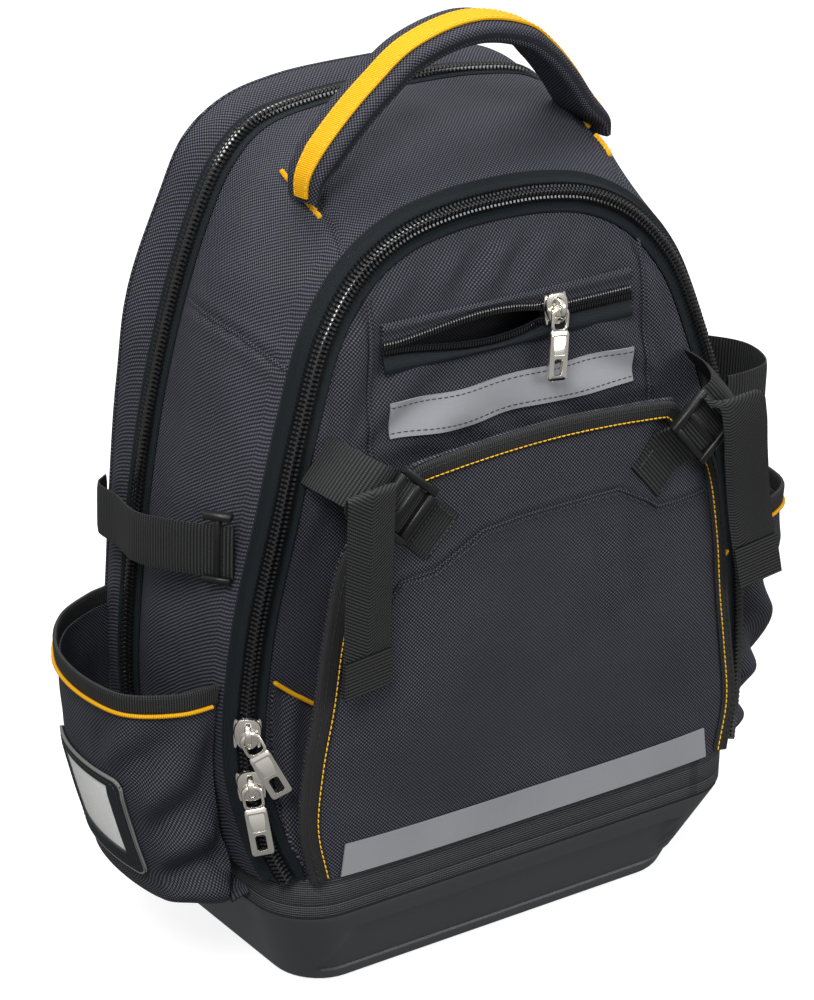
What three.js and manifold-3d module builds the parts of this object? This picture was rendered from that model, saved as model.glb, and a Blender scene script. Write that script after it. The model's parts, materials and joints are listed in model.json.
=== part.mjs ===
// A tool backpack: a soft ribbed-nylon bag on a moulded base tray, with a zipped main
// compartment, a zipped front compartment, an open tool pocket and two side pockets.
// Millimetres, +Z up. The origin is the centre of the tray's flat underside; the front faces -Y.

import * as THREE from "three";
import { mergeVertices } from "three/addons/utils/BufferGeometryUtils.js";
import Module from "manifold-3d";

const wasm = await Module();
wasm.setup();

// Driving sizes
const clearance = 0.3;
const clothWall = 2.0;
const trimWall = 1.2;
const webbingWidth = 25;
const webbingWall = 1.6;

const rimHalfWidth = 135;
const rimHalfDepth = 86.5;
const rimCornerRadius = 30;
const footHalfWidth = 112;
const footHalfDepth = 65;
const footCornerRadius = 24;
const trayHeight = 50;
const trayWall = 3;
const trayEdgeRound = 6;
const trayLipHeight = 16;
const trayPanelDepth = 1.6;
const trayPanelHalfWidth = 96;
const trayPanelTop = 37;

const bandHeight = 21;
const bandWall = 2.6;

const frontHalfWidth = 144;
const mainHalfWidth = 142;
const backHalfWidth = 140;
const frontTop = 366;
const mainTop = 398;
const backTop = 403.5;
const mainZipDepth = 42;
const backSeamDepth = 66;
const backPadding = 9;
const gussetCrown = 8;

const tapeInner = 9;
const tapeOuter = 8;
const coilWidth = 9;
const coilHeight = 2.8;

// Heights that follow from the driving sizes
const bandTop = trayHeight + bandHeight;
const bodyBase = bandTop + clearance;

// Half widths of the three arched lines as shares of each line's own half width, and how far
// forward the front line stands as a share of the rim's half depth, at shares of the height
const archRows = [
  { rise: 0.0, front: 0.91, main: 0.95, back: 0.965, lean: 0.9 },
  { rise: 0.06, front: 0.955, main: 0.97, back: 0.98, lean: 0.83 },
  { rise: 0.19, front: 1.0, main: 1.0, back: 1.0, lean: 0.73 },
  { rise: 0.39, front: 0.965, main: 0.975, back: 0.985, lean: 0.69 },
  { rise: 0.585, front: 0.875, main: 0.915, back: 0.95, lean: 0.685 },
  { rise: 0.72, front: 0.79, main: 0.845, back: 0.907, lean: 0.64 },
  { rise: 0.85, front: 0.68, main: 0.745, back: 0.79, lean: 0.58 },
  { rise: 0.93, front: 0.54, main: 0.65, back: 0.693, lean: 0.53 },
  { rise: 0.975, front: 0.375, main: 0.535, back: 0.545, lean: 0.505 },
  { rise: 0.995, front: 0.19, main: 0.315, back: 0.34, lean: 0.5 },
  { rise: 1.0, front: 0.0, main: 0.0, back: 0.0, lean: 0.5 },
];
const archSteps = 34;

// The rows of the shell from the front panel's seam to the back seam. blend 0 is the front zip's
// line, 1 the main zip's line and 2 the back seam; out and back shift a row off its line.
const shellRows = [
  { name: "panel_seam", blend: 0, out: -tapeInner, back: -2 },
  { name: "front_zip", blend: 0, out: 0, back: 0 },
  { name: "gusset_front", blend: 0, out: tapeOuter, back: tapeOuter },
  { name: "gusset_low", blend: 0.36, out: gussetCrown, back: 3 },
  { name: "gusset_high", blend: 0.66, out: gussetCrown * 0.85, back: -2 },
  { name: "gusset_rear", blend: 1, out: 0, back: -tapeInner },
  { name: "main_zip", blend: 1, out: 0.6, back: 0 },
  { name: "rear_front", blend: 1, out: 0.3, back: tapeInner },
  { name: "back_seam", blend: 2, out: 0, back: 0 },
];

const X = new THREE.Vector3(1, 0, 0);
const Y = new THREE.Vector3(0, 1, 0);
const Z = new THREE.Vector3(0, 0, 1);
const vec = (x, y, z) => new THREE.Vector3(x, y, z);
const mix = (a, b, t) => a + (b - a) * t;
const clamp = (value, low, high) => Math.min(high, Math.max(low, value));

// The value of a table's column at a place between its rows, on a smooth curve
function column(table, place, key, at) {
  let i = 0;
  while (i < table.length - 2 && table[i + 1][place] < at) i += 1;
  const low = table[Math.max(i - 1, 0)];
  const a = table[i];
  const b = table[i + 1];
  const high = table[Math.min(i + 2, table.length - 1)];
  const span = b[place] - a[place];
  const t = clamp((at - a[place]) / span, 0, 1);
  const slopeA = (span * (b[key] - low[key])) / (b[place] - low[place]);
  const slopeB = (span * (high[key] - a[key])) / (high[place] - a[place]);
  const t2 = t * t;
  const t3 = t2 * t;
  return (
    (2 * t3 - 3 * t2 + 1) * a[key] +
    (t3 - 2 * t2 + t) * slopeA +
    (3 * t2 - 2 * t3) * b[key] +
    (t3 - t2) * slopeB
  );
}

// Closed solids from rows of points

function geometryOf(points, faces) {
  const geometry = new THREE.BufferGeometry();
  const values = points.flatMap((p) => [p.x, p.y, p.z]);
  geometry.setAttribute("position", new THREE.Float32BufferAttribute(values, 3));
  geometry.setIndex(faces.flat());
  return facingOut(geometry);
}

function signedVolume(geometry) {
  const position = geometry.attributes.position;
  const index = geometry.index;
  const a = vec(0, 0, 0);
  const b = vec(0, 0, 0);
  const c = vec(0, 0, 0);
  let volume = 0;
  for (let i = 0; i < index.count; i += 3) {
    a.fromBufferAttribute(position, index.getX(i));
    b.fromBufferAttribute(position, index.getX(i + 1));
    c.fromBufferAttribute(position, index.getX(i + 2));
    volume += a.dot(b.cross(c)) / 6;
  }
  return volume;
}

function facingOut(geometry) {
  if (signedVolume(geometry) >= 0) return geometry;
  const index = geometry.index;
  for (let i = 0; i < index.count; i += 3) {
    const first = index.getX(i);
    index.setX(i, index.getX(i + 1));
    index.setX(i + 1, first);
  }
  return geometry;
}

// Unit normals of a grid, on the side that (column step) x (row step) points to
function gridNormals(grid) {
  const last = grid.length - 1;
  const end = grid[0].length - 1;
  return grid.map((row, r) =>
    row.map((_, c) => {
      const along = row[Math.min(c + 1, end)].clone().sub(row[Math.max(c - 1, 0)]);
      const across = grid[Math.min(r + 1, last)][c].clone().sub(grid[Math.max(r - 1, 0)][c]);
      return along.cross(across).normalize();
    }),
  );
}

// A sheet between two offsets of a grid; keep says which cells are there
function sheet(grid, low, high, options = {}) {
  const normals = options.normals ?? gridNormals(grid);
  const keep = options.keep ?? (() => true);
  const rows = grid.length;
  const columns = grid[0].length;
  const floor = options.floor ?? -Infinity;
  const offsetPoint = (p, normal, offset) => {
    const moved = p.clone().addScaledVector(normal, offset);
    moved.z = Math.max(moved.z, floor);
    return moved;
  };
  const shifted = (offset) =>
    grid.flatMap((row, r) => row.map((p, c) => offsetPoint(p, normals[r][c], offset)));
  const points = [...shifted(high), ...shifted(low)];
  const under = rows * columns;
  const at = (r, c) => r * columns + c;
  const present = (r, c) => r >= 0 && c >= 0 && r < rows - 1 && c < columns - 1 && keep(r, c);
  const faces = [];
  const wall = (a, b) => {
    faces.push([a, b, b + under]);
    faces.push([a, b + under, a + under]);
  };
  for (let r = 0; r < rows - 1; r += 1) {
    for (let c = 0; c < columns - 1; c += 1) {
      if (!present(r, c)) continue;
      const [a, b, d, e] = [at(r, c), at(r, c + 1), at(r + 1, c + 1), at(r + 1, c)];
      faces.push([a, b, d], [a, d, e]);
      faces.push([a + under, d + under, b + under], [a + under, e + under, d + under]);
      if (!present(r - 1, c)) wall(b, a);
      if (!present(r, c + 1)) wall(d, b);
      if (!present(r + 1, c)) wall(e, d);
      if (!present(r, c - 1)) wall(a, e);
    }
  }
  return geometryOf(...withoutSpare(points, faces));
}

function withoutSpare(points, faces) {
  const used = new Map();
  const kept = [];
  const renumber = (i) => {
    if (!used.has(i)) {
      used.set(i, kept.length);
      kept.push(points[i]);
    }
    return used.get(i);
  };
  const faced = faces.map((face) => face.map(renumber));
  return [kept, faced];
}

// A solid through rings of points, capped at both ends or closed on itself
function loft(rings, closed = false) {
  const count = rings[0].length;
  const points = rings.flat();
  const faces = [];
  const steps = closed ? rings.length : rings.length - 1;
  for (let r = 0; r < steps; r += 1) {
    const next = (r + 1) % rings.length;
    for (let i = 0; i < count; i += 1) {
      const j = (i + 1) % count;
      faces.push([r * count + i, r * count + j, next * count + j]);
      faces.push([r * count + i, next * count + j, next * count + i]);
    }
  }
  if (!closed) {
    const cap = (ring, turn) => {
      const centre = points.length;
      const middle = vec(0, 0, 0);
      rings[ring].forEach((p) => middle.addScaledVector(p, 1 / count));
      points.push(middle);
      for (let i = 0; i < count; i += 1) {
        const a = ring * count + i;
        const b = ring * count + ((i + 1) % count);
        faces.push(turn ? [centre, b, a] : [centre, a, b]);
      }
    };
    cap(0, true);
    cap(rings.length - 1, false);
  }
  return geometryOf(points, faces);
}

// A flat band along a path; sides gives the direction across it at each point
function ribbon(path, sides, width, wall) {
  const grid = [-0.5, 0.5].map((share) =>
    path.map((p, i) => p.clone().addScaledVector(sides[i], share * width)),
  );
  return sheet(grid, -wall / 2, wall / 2);
}

// A smooth path through chosen points
function smoothPath(points, steps) {
  return new THREE.CatmullRomCurve3(points, false, "centripetal").getPoints(steps);
}

// A round or oval bar along a path, flat side towards up
function bar(path, up, halfWidth, halfHeight, sides) {
  const rings = path.map((p, i) => {
    const before = path[Math.max(i - 1, 0)];
    const after = path[Math.min(i + 1, path.length - 1)];
    const along = after.clone().sub(before).normalize();
    const across = along.clone().cross(up[i]).normalize();
    const lift = across.clone().cross(along).normalize();
    return Array.from({ length: sides }, (_, k) => {
      const turn = (2 * Math.PI * (k + 0.5)) / sides;
      return p
        .clone()
        .addScaledVector(across, halfWidth[i] * Math.cos(turn))
        .addScaledVector(lift, halfHeight[i] * Math.sin(turn));
    });
  });
  return loft(rings);
}

// Joining and cutting solids

function toManifold(geometry) {
  const bare = geometry.clone();
  bare.deleteAttribute("normal");
  bare.deleteAttribute("uv");
  const merged = mergeVertices(bare, 1e-4);
  return new wasm.Manifold(
    new wasm.Mesh({
      numProp: 3,
      vertProperties: new Float32Array(merged.attributes.position.array),
      triVerts: new Uint32Array(merged.index.array),
    }),
  );
}

function fromManifold(solid) {
  const mesh = solid.getMesh();
  const geometry = new THREE.BufferGeometry();
  geometry.setAttribute("position", new THREE.Float32BufferAttribute(mesh.vertProperties, 3));
  geometry.setIndex([...mesh.triVerts]);
  return geometry;
}

const joined = (...geometries) =>
  fromManifold(geometries.map(toManifold).reduce((a, b) => a.add(b)));
const cut = (geometry, ...tools) =>
  fromManifold(tools.map(toManifold).reduce((a, b) => a.subtract(b), toManifold(geometry)));

function block(width, depth, height, centre) {
  return new THREE.BoxGeometry(width, depth, height).translate(centre.x, centre.y, centre.z);
}

// The arched lines and the shell between them

const lines = {
  front: { half: frontHalfWidth, top: frontTop, depth: (rise) => -rimHalfDepth * leanAt(rise) },
  main: { half: mainHalfWidth, top: mainTop, depth: () => mainZipDepth },
  back: { half: backHalfWidth, top: backTop, depth: () => backSeamDepth },
};

function leanAt(rise) {
  return column(archRows, "rise", "lean", clamp(rise, 0, 1));
}

function archPoint(name, row, side) {
  const line = lines[name];
  return vec(
    side * row[name] * line.half,
    line.depth(row.rise),
    mix(bodyBase, line.top, row.rise),
  );
}

function archLine(name) {
  const left = archRows.map((row) => archPoint(name, row, -1));
  const right = archRows.slice(0, -1).reverse().map((row) => archPoint(name, row, 1));
  const curve = new THREE.CatmullRomCurve3([...left, ...right], false, "centripetal");
  curve.arcLengthDivisions = 1200;
  return curve.getSpacedPoints(archSteps);
}

// A line moved outwards in its own upright plane and backwards, with its feet kept level
function shiftedLine(line, out, back) {
  return line.map((p, i) => {
    const before = line[Math.max(i - 1, 0)];
    const after = line[Math.min(i + 1, line.length - 1)];
    const outward = vec(before.z - after.z, 0, after.x - before.x).normalize();
    const moved = p.clone().addScaledVector(outward, out);
    moved.y += back;
    if (i === 0 || i === line.length - 1) moved.z = bodyBase;
    return moved;
  });
}

const frontLine = archLine("front");
const mainLine = archLine("main");
const backLine = archLine("back");

function shellLine(row) {
  if (row.blend === 2) return shiftedLine(backLine, row.out, row.back);
  const base = frontLine.map((p, i) => p.clone().lerp(mainLine[i], row.blend));
  return shiftedLine(base, row.out, row.back);
}

const shell = shellRows.map(shellLine);
const shellNormals = gridNormals(shell);
const shellIndex = Object.fromEntries(shellRows.map((row, i) => [row.name, i]));

// The part of the shell between two of its rows, drawn back from both by half the seam gap
function shellSheet(from, to, wall) {
  const first = shellIndex[from];
  const last = shellIndex[to];
  const grid = shell.slice(first, last + 1).map((row) => row.map((p) => p.clone()));
  const normals = shellNormals.slice(first, last + 1);
  const pull = (edge, inner) =>
    edge.forEach((p, i) => {
      const way = inner[i].clone().sub(p).normalize();
      p.addScaledVector(way, clearance * 0.6);
    });
  pull(grid[0], grid[1]);
  pull(grid[grid.length - 1], grid[grid.length - 2]);
  return sheet(grid, -wall, 0, { normals, floor: bodyBase });
}

// A place on the shell: along counts arch steps from the left foot, across counts shell rows
function shellPlace(across, along) {
  const r = Math.min(Math.floor(across), shell.length - 2);
  const c = Math.min(Math.floor(along), archSteps - 1);
  const s = across - r;
  const t = along - c;
  const pick = (grid) =>
    grid[r][c]
      .clone()
      .lerp(grid[r][c + 1], t)
      .lerp(grid[r + 1][c].clone().lerp(grid[r + 1][c + 1], t), s);
  return { point: pick(shell), normal: pick(shellNormals).normalize() };
}

// Half width of an arched line at a height
function lineHalf(name, height) {
  const line = lines[name];
  const rise = clamp((height - bodyBase) / (line.top - bodyBase), 0, 1);
  return line.half * column(archRows, "rise", name, rise);
}

// The front panel's outer face
const panelSink = 2;
const panelCrown = 2;
function panelFace(x, z) {
  const rise = (z - bodyBase) / (frontTop - bodyBase);
  const half = Math.max(lineHalf("front", z), 1);
  const middle = Math.max(0, 1 - (x / half) ** 2);
  return -rimHalfDepth * leanAt(rise) - panelSink - panelCrown * middle;
}

// Base tray and its binding

function roundedRing(halfWidth, halfDepth, radius, z, shape = (p) => p) {
  const cornerSteps = 4;
  const sideSteps = 6;
  const centres = [
    { x: halfWidth - radius, y: -halfDepth + radius, from: -0.5 },
    { x: halfWidth - radius, y: halfDepth - radius, from: 0 },
    { x: -halfWidth + radius, y: halfDepth - radius, from: 0.5 },
    { x: -halfWidth + radius, y: -halfDepth + radius, from: 1 },
  ];
  const ring = [];
  centres.forEach((corner, k) => {
    for (let i = 0; i <= cornerSteps; i += 1) {
      const turn = Math.PI * (corner.from + (0.5 * i) / cornerSteps);
      ring.push(vec(corner.x + radius * Math.cos(turn), corner.y + radius * Math.sin(turn), z));
    }
    const end = ring[ring.length - 1];
    const next = centres[(k + 1) % centres.length];
    const turn = Math.PI * next.from;
    const start = vec(next.x + radius * Math.cos(turn), next.y + radius * Math.sin(turn), z);
    for (let i = 1; i < sideSteps; i += 1) ring.push(end.clone().lerp(start, i / sideSteps));
  });
  return ring.map(shape);
}

// Size of the tray's outside at a height, less a wall
function trayRing(z, inset, shape) {
  const share = z / trayHeight;
  return roundedRing(
    mix(footHalfWidth, rimHalfWidth, share) - inset,
    mix(footHalfDepth, rimHalfDepth, share) - inset,
    mix(footCornerRadius, rimCornerRadius, share) - inset,
    z,
    shape,
  );
}

// The sunk panel on the tray's front wall
function sunkPanel(p) {
  const inFront = p.y < 0 && Math.abs(p.x) < trayPanelHalfWidth;
  if (inFront && p.z > trayEdgeRound && p.z < trayPanelTop) p.y += trayPanelDepth;
  return p;
}

function baseTray() {
  const lipInset = bandWall + clearance;
  const lipTop = trayHeight + trayLipHeight;
  const lip = (z, inset) =>
    roundedRing(rimHalfWidth - inset, rimHalfDepth - inset, rimCornerRadius - inset, z);
  const rounding = [0, 0.4, 1].map((share) => {
    const turn = (share * Math.PI) / 2;
    const inset = trayEdgeRound * (1 - Math.sin(turn));
    return trayRing(trayEdgeRound * (1 - Math.cos(turn)), inset, sunkPanel);
  });
  return loft([
    ...rounding,
    trayRing(trayEdgeRound + 2, 0, sunkPanel),
    trayRing(trayPanelTop - 1, 0, sunkPanel),
    trayRing(trayPanelTop + 1, 0, sunkPanel),
    trayRing(trayHeight - clearance, 0),
    lip(trayHeight - clearance, lipInset),
    lip(lipTop, lipInset),
    lip(lipTop, lipInset + trayWall),
    trayRing(trayHeight - trayWall, trayWall + lipInset),
    trayRing(trayWall, trayWall * 2 + trayEdgeRound),
  ]);
}

function baseBand() {
  const outer = roundedRing(rimHalfWidth, rimHalfDepth, rimCornerRadius, 0);
  const inner = roundedRing(
    rimHalfWidth - bandWall,
    rimHalfDepth - bandWall,
    rimCornerRadius - bandWall,
    0,
  );
  const sections = outer.map((p, i) => [
    vec(p.x, p.y, trayHeight),
    vec(p.x, p.y, bandTop),
    vec(inner[i].x, inner[i].y, bandTop),
    vec(inner[i].x, inner[i].y, trayHeight),
  ]);
  return loft(sections, true);
}

const seamRoom = clearance * 3;

// Panels that fill an arch: side rows run from one leg to the other, with a bowed top

function archGrid(line, legSteps) {
  const end = line.length - 1;
  const columns = end - 2 * legSteps;
  const top = line.slice(legSteps, end - legSteps + 1);
  const grid = [];
  for (let r = 0; r <= legSteps; r += 1) {
    const left = line[r];
    const right = line[end - r];
    const share = r / legSteps;
    grid.push(
      top.map((p, c) => {
        const straight = left.clone().lerp(right, c / columns);
        const level = top[0].clone().lerp(top[columns], c / columns);
        const bow = p.clone().sub(level);
        const fade = share ** 2;
        straight.addScaledVector(bow, fade);
        return straight;
      }),
    );
  }
  return grid;
}

const panelLegSteps = 11;
const pocketZip = { halfWidth: 69, low: 303, high: 321 };

function frontPanelGrid() {
  const edge = shiftedLine(shell[0], -clearance, 0);
  const grid = archGrid(edge, panelLegSteps);
  const last = grid.length - 1;
  const end = grid[0].length - 1;
  return grid.map((row, r) =>
    row.map((p, c) => {
      const seam = c === 0 || c === end || r === last;
      return seam ? p : vec(p.x, panelFace(p.x, p.z), p.z);
    }),
  );
}

function frontPanel() {
  const panel = sheet(frontPanelGrid(), -clothWall, 0, { floor: bodyBase });
  const height = pocketZip.high - pocketZip.low;
  const middle = vec(0, panelFace(0, pocketZip.low), pocketZip.low + height / 2);
  return cut(panel, block(2 * pocketZip.halfWidth, 30, height, middle));
}

function backPanel() {
  const outline = shiftedLine(backLine, 0, seamRoom);
  const grid = archGrid(outline, panelLegSteps);
  const last = grid.length - 1;
  const end = grid[0].length - 1;
  const padded = grid.map((row, r) =>
    row.map((p, c) => {
      const sideShare = Math.min(r + 1, c, end - c) / 4;
      const topShare = (last - r) / 1.5;
      const swell = backPadding * Math.min(1, sideShare) * Math.min(1, topShare);
      return vec(p.x, p.y + clothWall + swell, p.z);
    }),
  );
  return closedPair(padded, grid);
}

// A solid between two grids of the same size
function closedPair(outer, inner) {
  const rows = outer.length;
  const columns = outer[0].length;
  const points = [...outer.flat(), ...inner.flat()];
  const under = rows * columns;
  const at = (r, c) => r * columns + c;
  const faces = [];
  const wall = (a, b) => faces.push([a, b, b + under], [a, b + under, a + under]);
  for (let r = 0; r < rows - 1; r += 1) {
    for (let c = 0; c < columns - 1; c += 1) {
      const [a, b, d, e] = [at(r, c), at(r, c + 1), at(r + 1, c + 1), at(r + 1, c)];
      faces.push([a, b, d], [a, d, e]);
      faces.push([a + under, d + under, b + under], [a + under, e + under, d + under]);
      if (r === 0) wall(b, a);
      if (c === columns - 2) wall(d, b);
      if (r === rows - 2) wall(e, d);
      if (c === 0) wall(a, e);
    }
  }
  return geometryOf(points, faces);
}

// Zip teeth as a plain raised strip on a shell row

function coil(rowName) {
  const r = shellIndex[rowName];
  const path = shell[r].map((p, i) =>
    p.clone().addScaledVector(shellNormals[r][i], clearance + coilHeight / 2),
  );
  const wide = path.map(() => coilWidth / 2);
  const corner = Math.SQRT1_2;
  const scaled = (sizes) => sizes.map((size) => size / corner);
  const high = path.map(() => coilHeight / 2);
  return bar(path, shellNormals[r], scaled(wide), scaled(high), 4);
}

// Surfaces that other pieces lie on: each gives a point for (x, z)

const onPanel = (x, z) => vec(x, panelFace(x, z), z);

// Half widths of the tool flap at shares of its height, and how far it stands forward
const flapRows = [
  { rise: 0.0, half: 0.96, proud: 1.0, wrap: 0.3 },
  { rise: 0.14, half: 1.0, proud: 1.005, wrap: 0.6 },
  { rise: 0.3, half: 0.975, proud: 1.02, wrap: 0.95 },
  { rise: 0.45, half: 0.935, proud: 1.025, wrap: 1.0 },
  { rise: 0.62, half: 0.9, proud: 1.02, wrap: 1.0 },
  { rise: 0.81, half: 0.83, proud: 1.005, wrap: 0.9 },
  { rise: 0.9, half: 0.715, proud: 0.995, wrap: 0.5 },
  { rise: 1.0, half: 0.575, proud: 0.98, wrap: 0.0 },
];
const flapHalfWidth = 128;
const flapTop = 268;
const flapBow = 5;
const flapWrap = 10;
const flapReach = 88;

function flapHalf(z) {
  return flapHalfWidth * column(flapRows, "rise", "half", (z - bodyBase) / (flapTop - bodyBase));
}

function flapFace(x, z) {
  const rise = clamp((z - bodyBase) / (flapTop - bodyBase), 0, 1);
  const share = Math.min(1, Math.abs(x) / flapHalf(z));
  const wrap = flapWrap * column(flapRows, "rise", "wrap", rise);
  return -flapReach * column(flapRows, "rise", "proud", rise) + wrap * share ** 4;
}

const onFlap = (x, z) => vec(x, flapFace(x, z), z);

function flapGrid() {
  const rows = 11;
  const shares = [-1, -0.93, -0.8, -0.6, -0.3, 0, 0.3, 0.6, 0.8, 0.93, 1];
  return Array.from({ length: rows + 1 }, (_, r) => {
    const level = mix(bodyBase, flapTop, r / rows);
    const half = flapHalf(level);
    const lift = flapBow * (r / rows) ** 3;
    return shares.map((share) => {
      const p = onFlap(share * half, level);
      p.z += lift * (1 - share ** 2);
      return p;
    });
  });
}

// The pleat that joins the flap's side to the front panel, turned in behind the flap
const pleat = { low: 98, high: 226, edge: 5, turn: 8 };
function flapPleat(side) {
  const rows = 6;
  const grid = Array.from({ length: rows + 1 }, (_, r) => {
    const z = mix(pleat.low, pleat.high, r / rows);
    const outerX = flapHalf(z) - pleat.edge;
    const innerX = outerX - pleat.turn;
    const near = flapFace(outerX, z) + clothWall + trimWall / 2 + clearance;
    const far = panelFace(innerX, z) - 1.5 * trimWall - seamRoom - 2 * clearance;
    return [0, 0.5, 1].map((share) =>
      vec(side * mix(outerX, innerX, share ** 2), mix(near, far, share), z),
    );
  });
  return sheet(grid, -trimWall / 2, trimWall / 2);
}

function toolFlap() {
  return sheet(flapGrid(), -clothWall, 0, { floor: bodyBase });
}

// The webbing sewn over the flap's edge, from the left foot over the top to the right foot
const bindingWidth = 9;
function flapBinding() {
  const legSteps = 11;
  const topSteps = 7;
  const heights = Array.from({ length: legSteps + 1 }, (_, i) =>
    mix(bodyBase, flapTop, i / legSteps),
  );
  const edge = (side) => heights.map((z) => vec(side * (flapHalf(z) - 0.6), 0, z));
  const left = edge(-1);
  const right = edge(1).reverse();
  const top = [];
  for (let i = 1; i < topSteps; i += 1) {
    const share = mix(-1, 1, i / topSteps);
    const lift = flapBow * (1 - share ** 2) - 0.6;
    top.push(vec(share * flapHalf(flapTop), 0, flapTop + lift));
  }
  const outline = [...left, ...top, ...right];
  const inner = outline.map((p, i) => {
    const before = outline[Math.max(i - 1, 0)];
    const after = outline[Math.min(i + 1, outline.length - 1)];
    const inward = vec(after.z - before.z, 0, before.x - after.x).normalize();
    const moved = p.clone().addScaledVector(inward, bindingWidth);
    if (i === 0 || i === outline.length - 1) moved.z = bodyBase;
    return moved;
  });
  const onFace = (line) => line.map((p) => vec(p.x, flapFace(p.x, Math.min(p.z, flapTop)), p.z));
  const grid = [onFace(inner), onFace(outline)];
  return sheet(grid, seamRoom, seamRoom + trimWall, { floor: bodyBase });
}

// A patch on a surface, raised off it by the clearance
function patch(surface, x0, x1, z0, z1, columns, rows, wall, lift = seamRoom) {
  const grid = Array.from({ length: rows + 1 }, (_, r) =>
    Array.from({ length: columns + 1 }, (_, c) =>
      surface(mix(x0, x1, c / columns), mix(z0, z1, r / rows)),
    ),
  );
  return sheet(grid, lift, lift + wall);
}

// The front compartment's small zipped pocket

const zipSlit = { from: -64, to: 26, open: 5, middle: 312 };

// How far the slit gapes at a place across the panel
function slitGap(x) {
  const share = clamp((x - zipSlit.from) / (zipSlit.to - zipSlit.from), 0, 1);
  return zipSlit.open * Math.sin(Math.PI * share ** 1.3) + clearance;
}

function pocketZipHalf(side) {
  const steps = 12;
  const edge = pocketZip.halfWidth - clearance;
  const outer = side > 0 ? pocketZip.high - clearance : pocketZip.low + clearance;
  const across = [0, 0.5, 1];
  const grid = across.map((share) =>
    Array.from({ length: steps + 1 }, (_, i) => {
      const x = mix(-edge, edge, i / steps);
      const inner = zipSlit.middle + side * slitGap(x);
      const z = side > 0 ? mix(inner, outer, share) : mix(outer, inner, share);
      return onPanel(x, z);
    }),
  );
  return sheet(grid, -clothWall, 0);
}

const pocketBagDepth = 14;
function zipPocketBack() {
  const surface = (x, z) => {
    const p = onPanel(x, z);
    const u = 1 - (x / (pocketZip.halfWidth + 8)) ** 4;
    const top = pocketZip.high + 10;
    const low = pocketZip.low - 92;
    const v = Math.sin((Math.PI * (z - low)) / (top - low));
    p.y += clothWall + 3 * seamRoom + trimWall + pocketBagDepth * u * Math.max(v, 0);
    return p;
  };
  const half = pocketZip.halfWidth + 8;
  return patch(surface, -half, half, pocketZip.low - 92, pocketZip.high + 10, 6, 7, trimWall, 0);
}

// Zip sliders and pulls, in their own frame: x across the zip, y out from it, z along it (up)

const pull = {
  bar: 2.0,
  eye: 8.6,
  arm: 1.5,
  inner: 7.4,
  length: 33,
  width: 10.6,
  wall: 1.6,
  holeWidth: 4.6,
  holeLength: 7,
};
const slider = { length: 15, width: 13, height: 6.2, bridge: 2.8, arch: 3.2, reach: 10.4 };
const pullLevel = slider.height + 1.9;

function sliderGeometry() {
  const body = new THREE.Shape();
  body.moveTo(-slider.width / 2, slider.length * 0.35);
  body.lineTo(-slider.width * 0.36, slider.length / 2);
  body.lineTo(slider.width * 0.36, slider.length / 2);
  body.lineTo(slider.width / 2, slider.length * 0.35);
  body.lineTo(slider.width * 0.34, -slider.length / 2);
  body.lineTo(-slider.width * 0.34, -slider.length / 2);
  const thick = slider.height - clearance;
  const base = new THREE.ExtrudeGeometry(body, { depth: thick, bevelEnabled: false, steps: 1 })
    .rotateX(Math.PI / 2)
    .translate(0, slider.height, 0);
  const channel = block(
    coilWidth + 2 * clearance,
    2 * (coilHeight + 2 * clearance),
    slider.length * 2,
    vec(0, clearance * 0.5, 0),
  );
  const archHeight = slider.arch + slider.bridge * 0.5;
  const profile = new THREE.Shape();
  profile.moveTo(-slider.reach / 2, -1);
  profile.lineTo(slider.reach / 2, -1);
  profile.lineTo(slider.reach / 2 - 0.6, archHeight * 0.8);
  profile.lineTo(slider.reach / 2 - 2.2, archHeight);
  profile.lineTo(-slider.reach / 2 + 2.2, archHeight);
  profile.lineTo(-slider.reach / 2 + 0.6, archHeight * 0.8);
  const gap = new THREE.Path();
  gap.moveTo(-slider.reach / 2 + 1.9, 0);
  gap.lineTo(-slider.reach / 2 + 2.3, slider.arch);
  gap.lineTo(slider.reach / 2 - 2.3, slider.arch);
  gap.lineTo(slider.reach / 2 - 1.9, 0);
  profile.holes.push(gap);
  const bridge = new THREE.ExtrudeGeometry(profile, {
    depth: slider.bridge,
    bevelEnabled: false,
    steps: 1,
  })
    .translate(0, 0, -slider.bridge / 2)
    .rotateY(-Math.PI / 2)
    .translate(0, slider.height, 0);
  return joined(cut(base, channel), bridge);
}

function pullGeometry() {
  const half = pull.width / 2;
  const plate = new THREE.Shape();
  plate.moveTo(-half + 1.2, pull.bar / 2);
  plate.lineTo(half - 1.2, pull.bar / 2);
  plate.lineTo(half - 0.2, -pull.bar);
  plate.lineTo(half, -pull.length * 0.4);
  plate.lineTo(half, -pull.length + 2);
  plate.lineTo(half - 2, -pull.length);
  plate.lineTo(-half + 2, -pull.length);
  plate.lineTo(-half, -pull.length + 2);
  plate.lineTo(-half, -pull.length * 0.4);
  plate.lineTo(-half + 0.2, -pull.bar);
  const opening = (width, from, to) => {
    const path = new THREE.Path();
    path.moveTo(-width / 2, from);
    path.lineTo(-width / 2, to);
    path.lineTo(width / 2, to);
    path.lineTo(width / 2, from);
    return path;
  };
  plate.holes.push(opening(pull.inner, -pull.bar / 2, -pull.eye));
  const holeEnd = -pull.length + 3;
  plate.holes.push(opening(pull.holeWidth, holeEnd + pull.holeLength, holeEnd));
  return new THREE.ExtrudeGeometry(plate, { depth: pull.wall, bevelEnabled: false, steps: 1 })
    .translate(0, 0, -pull.wall / 2)
    .rotateX(Math.PI / 2);
}

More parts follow.
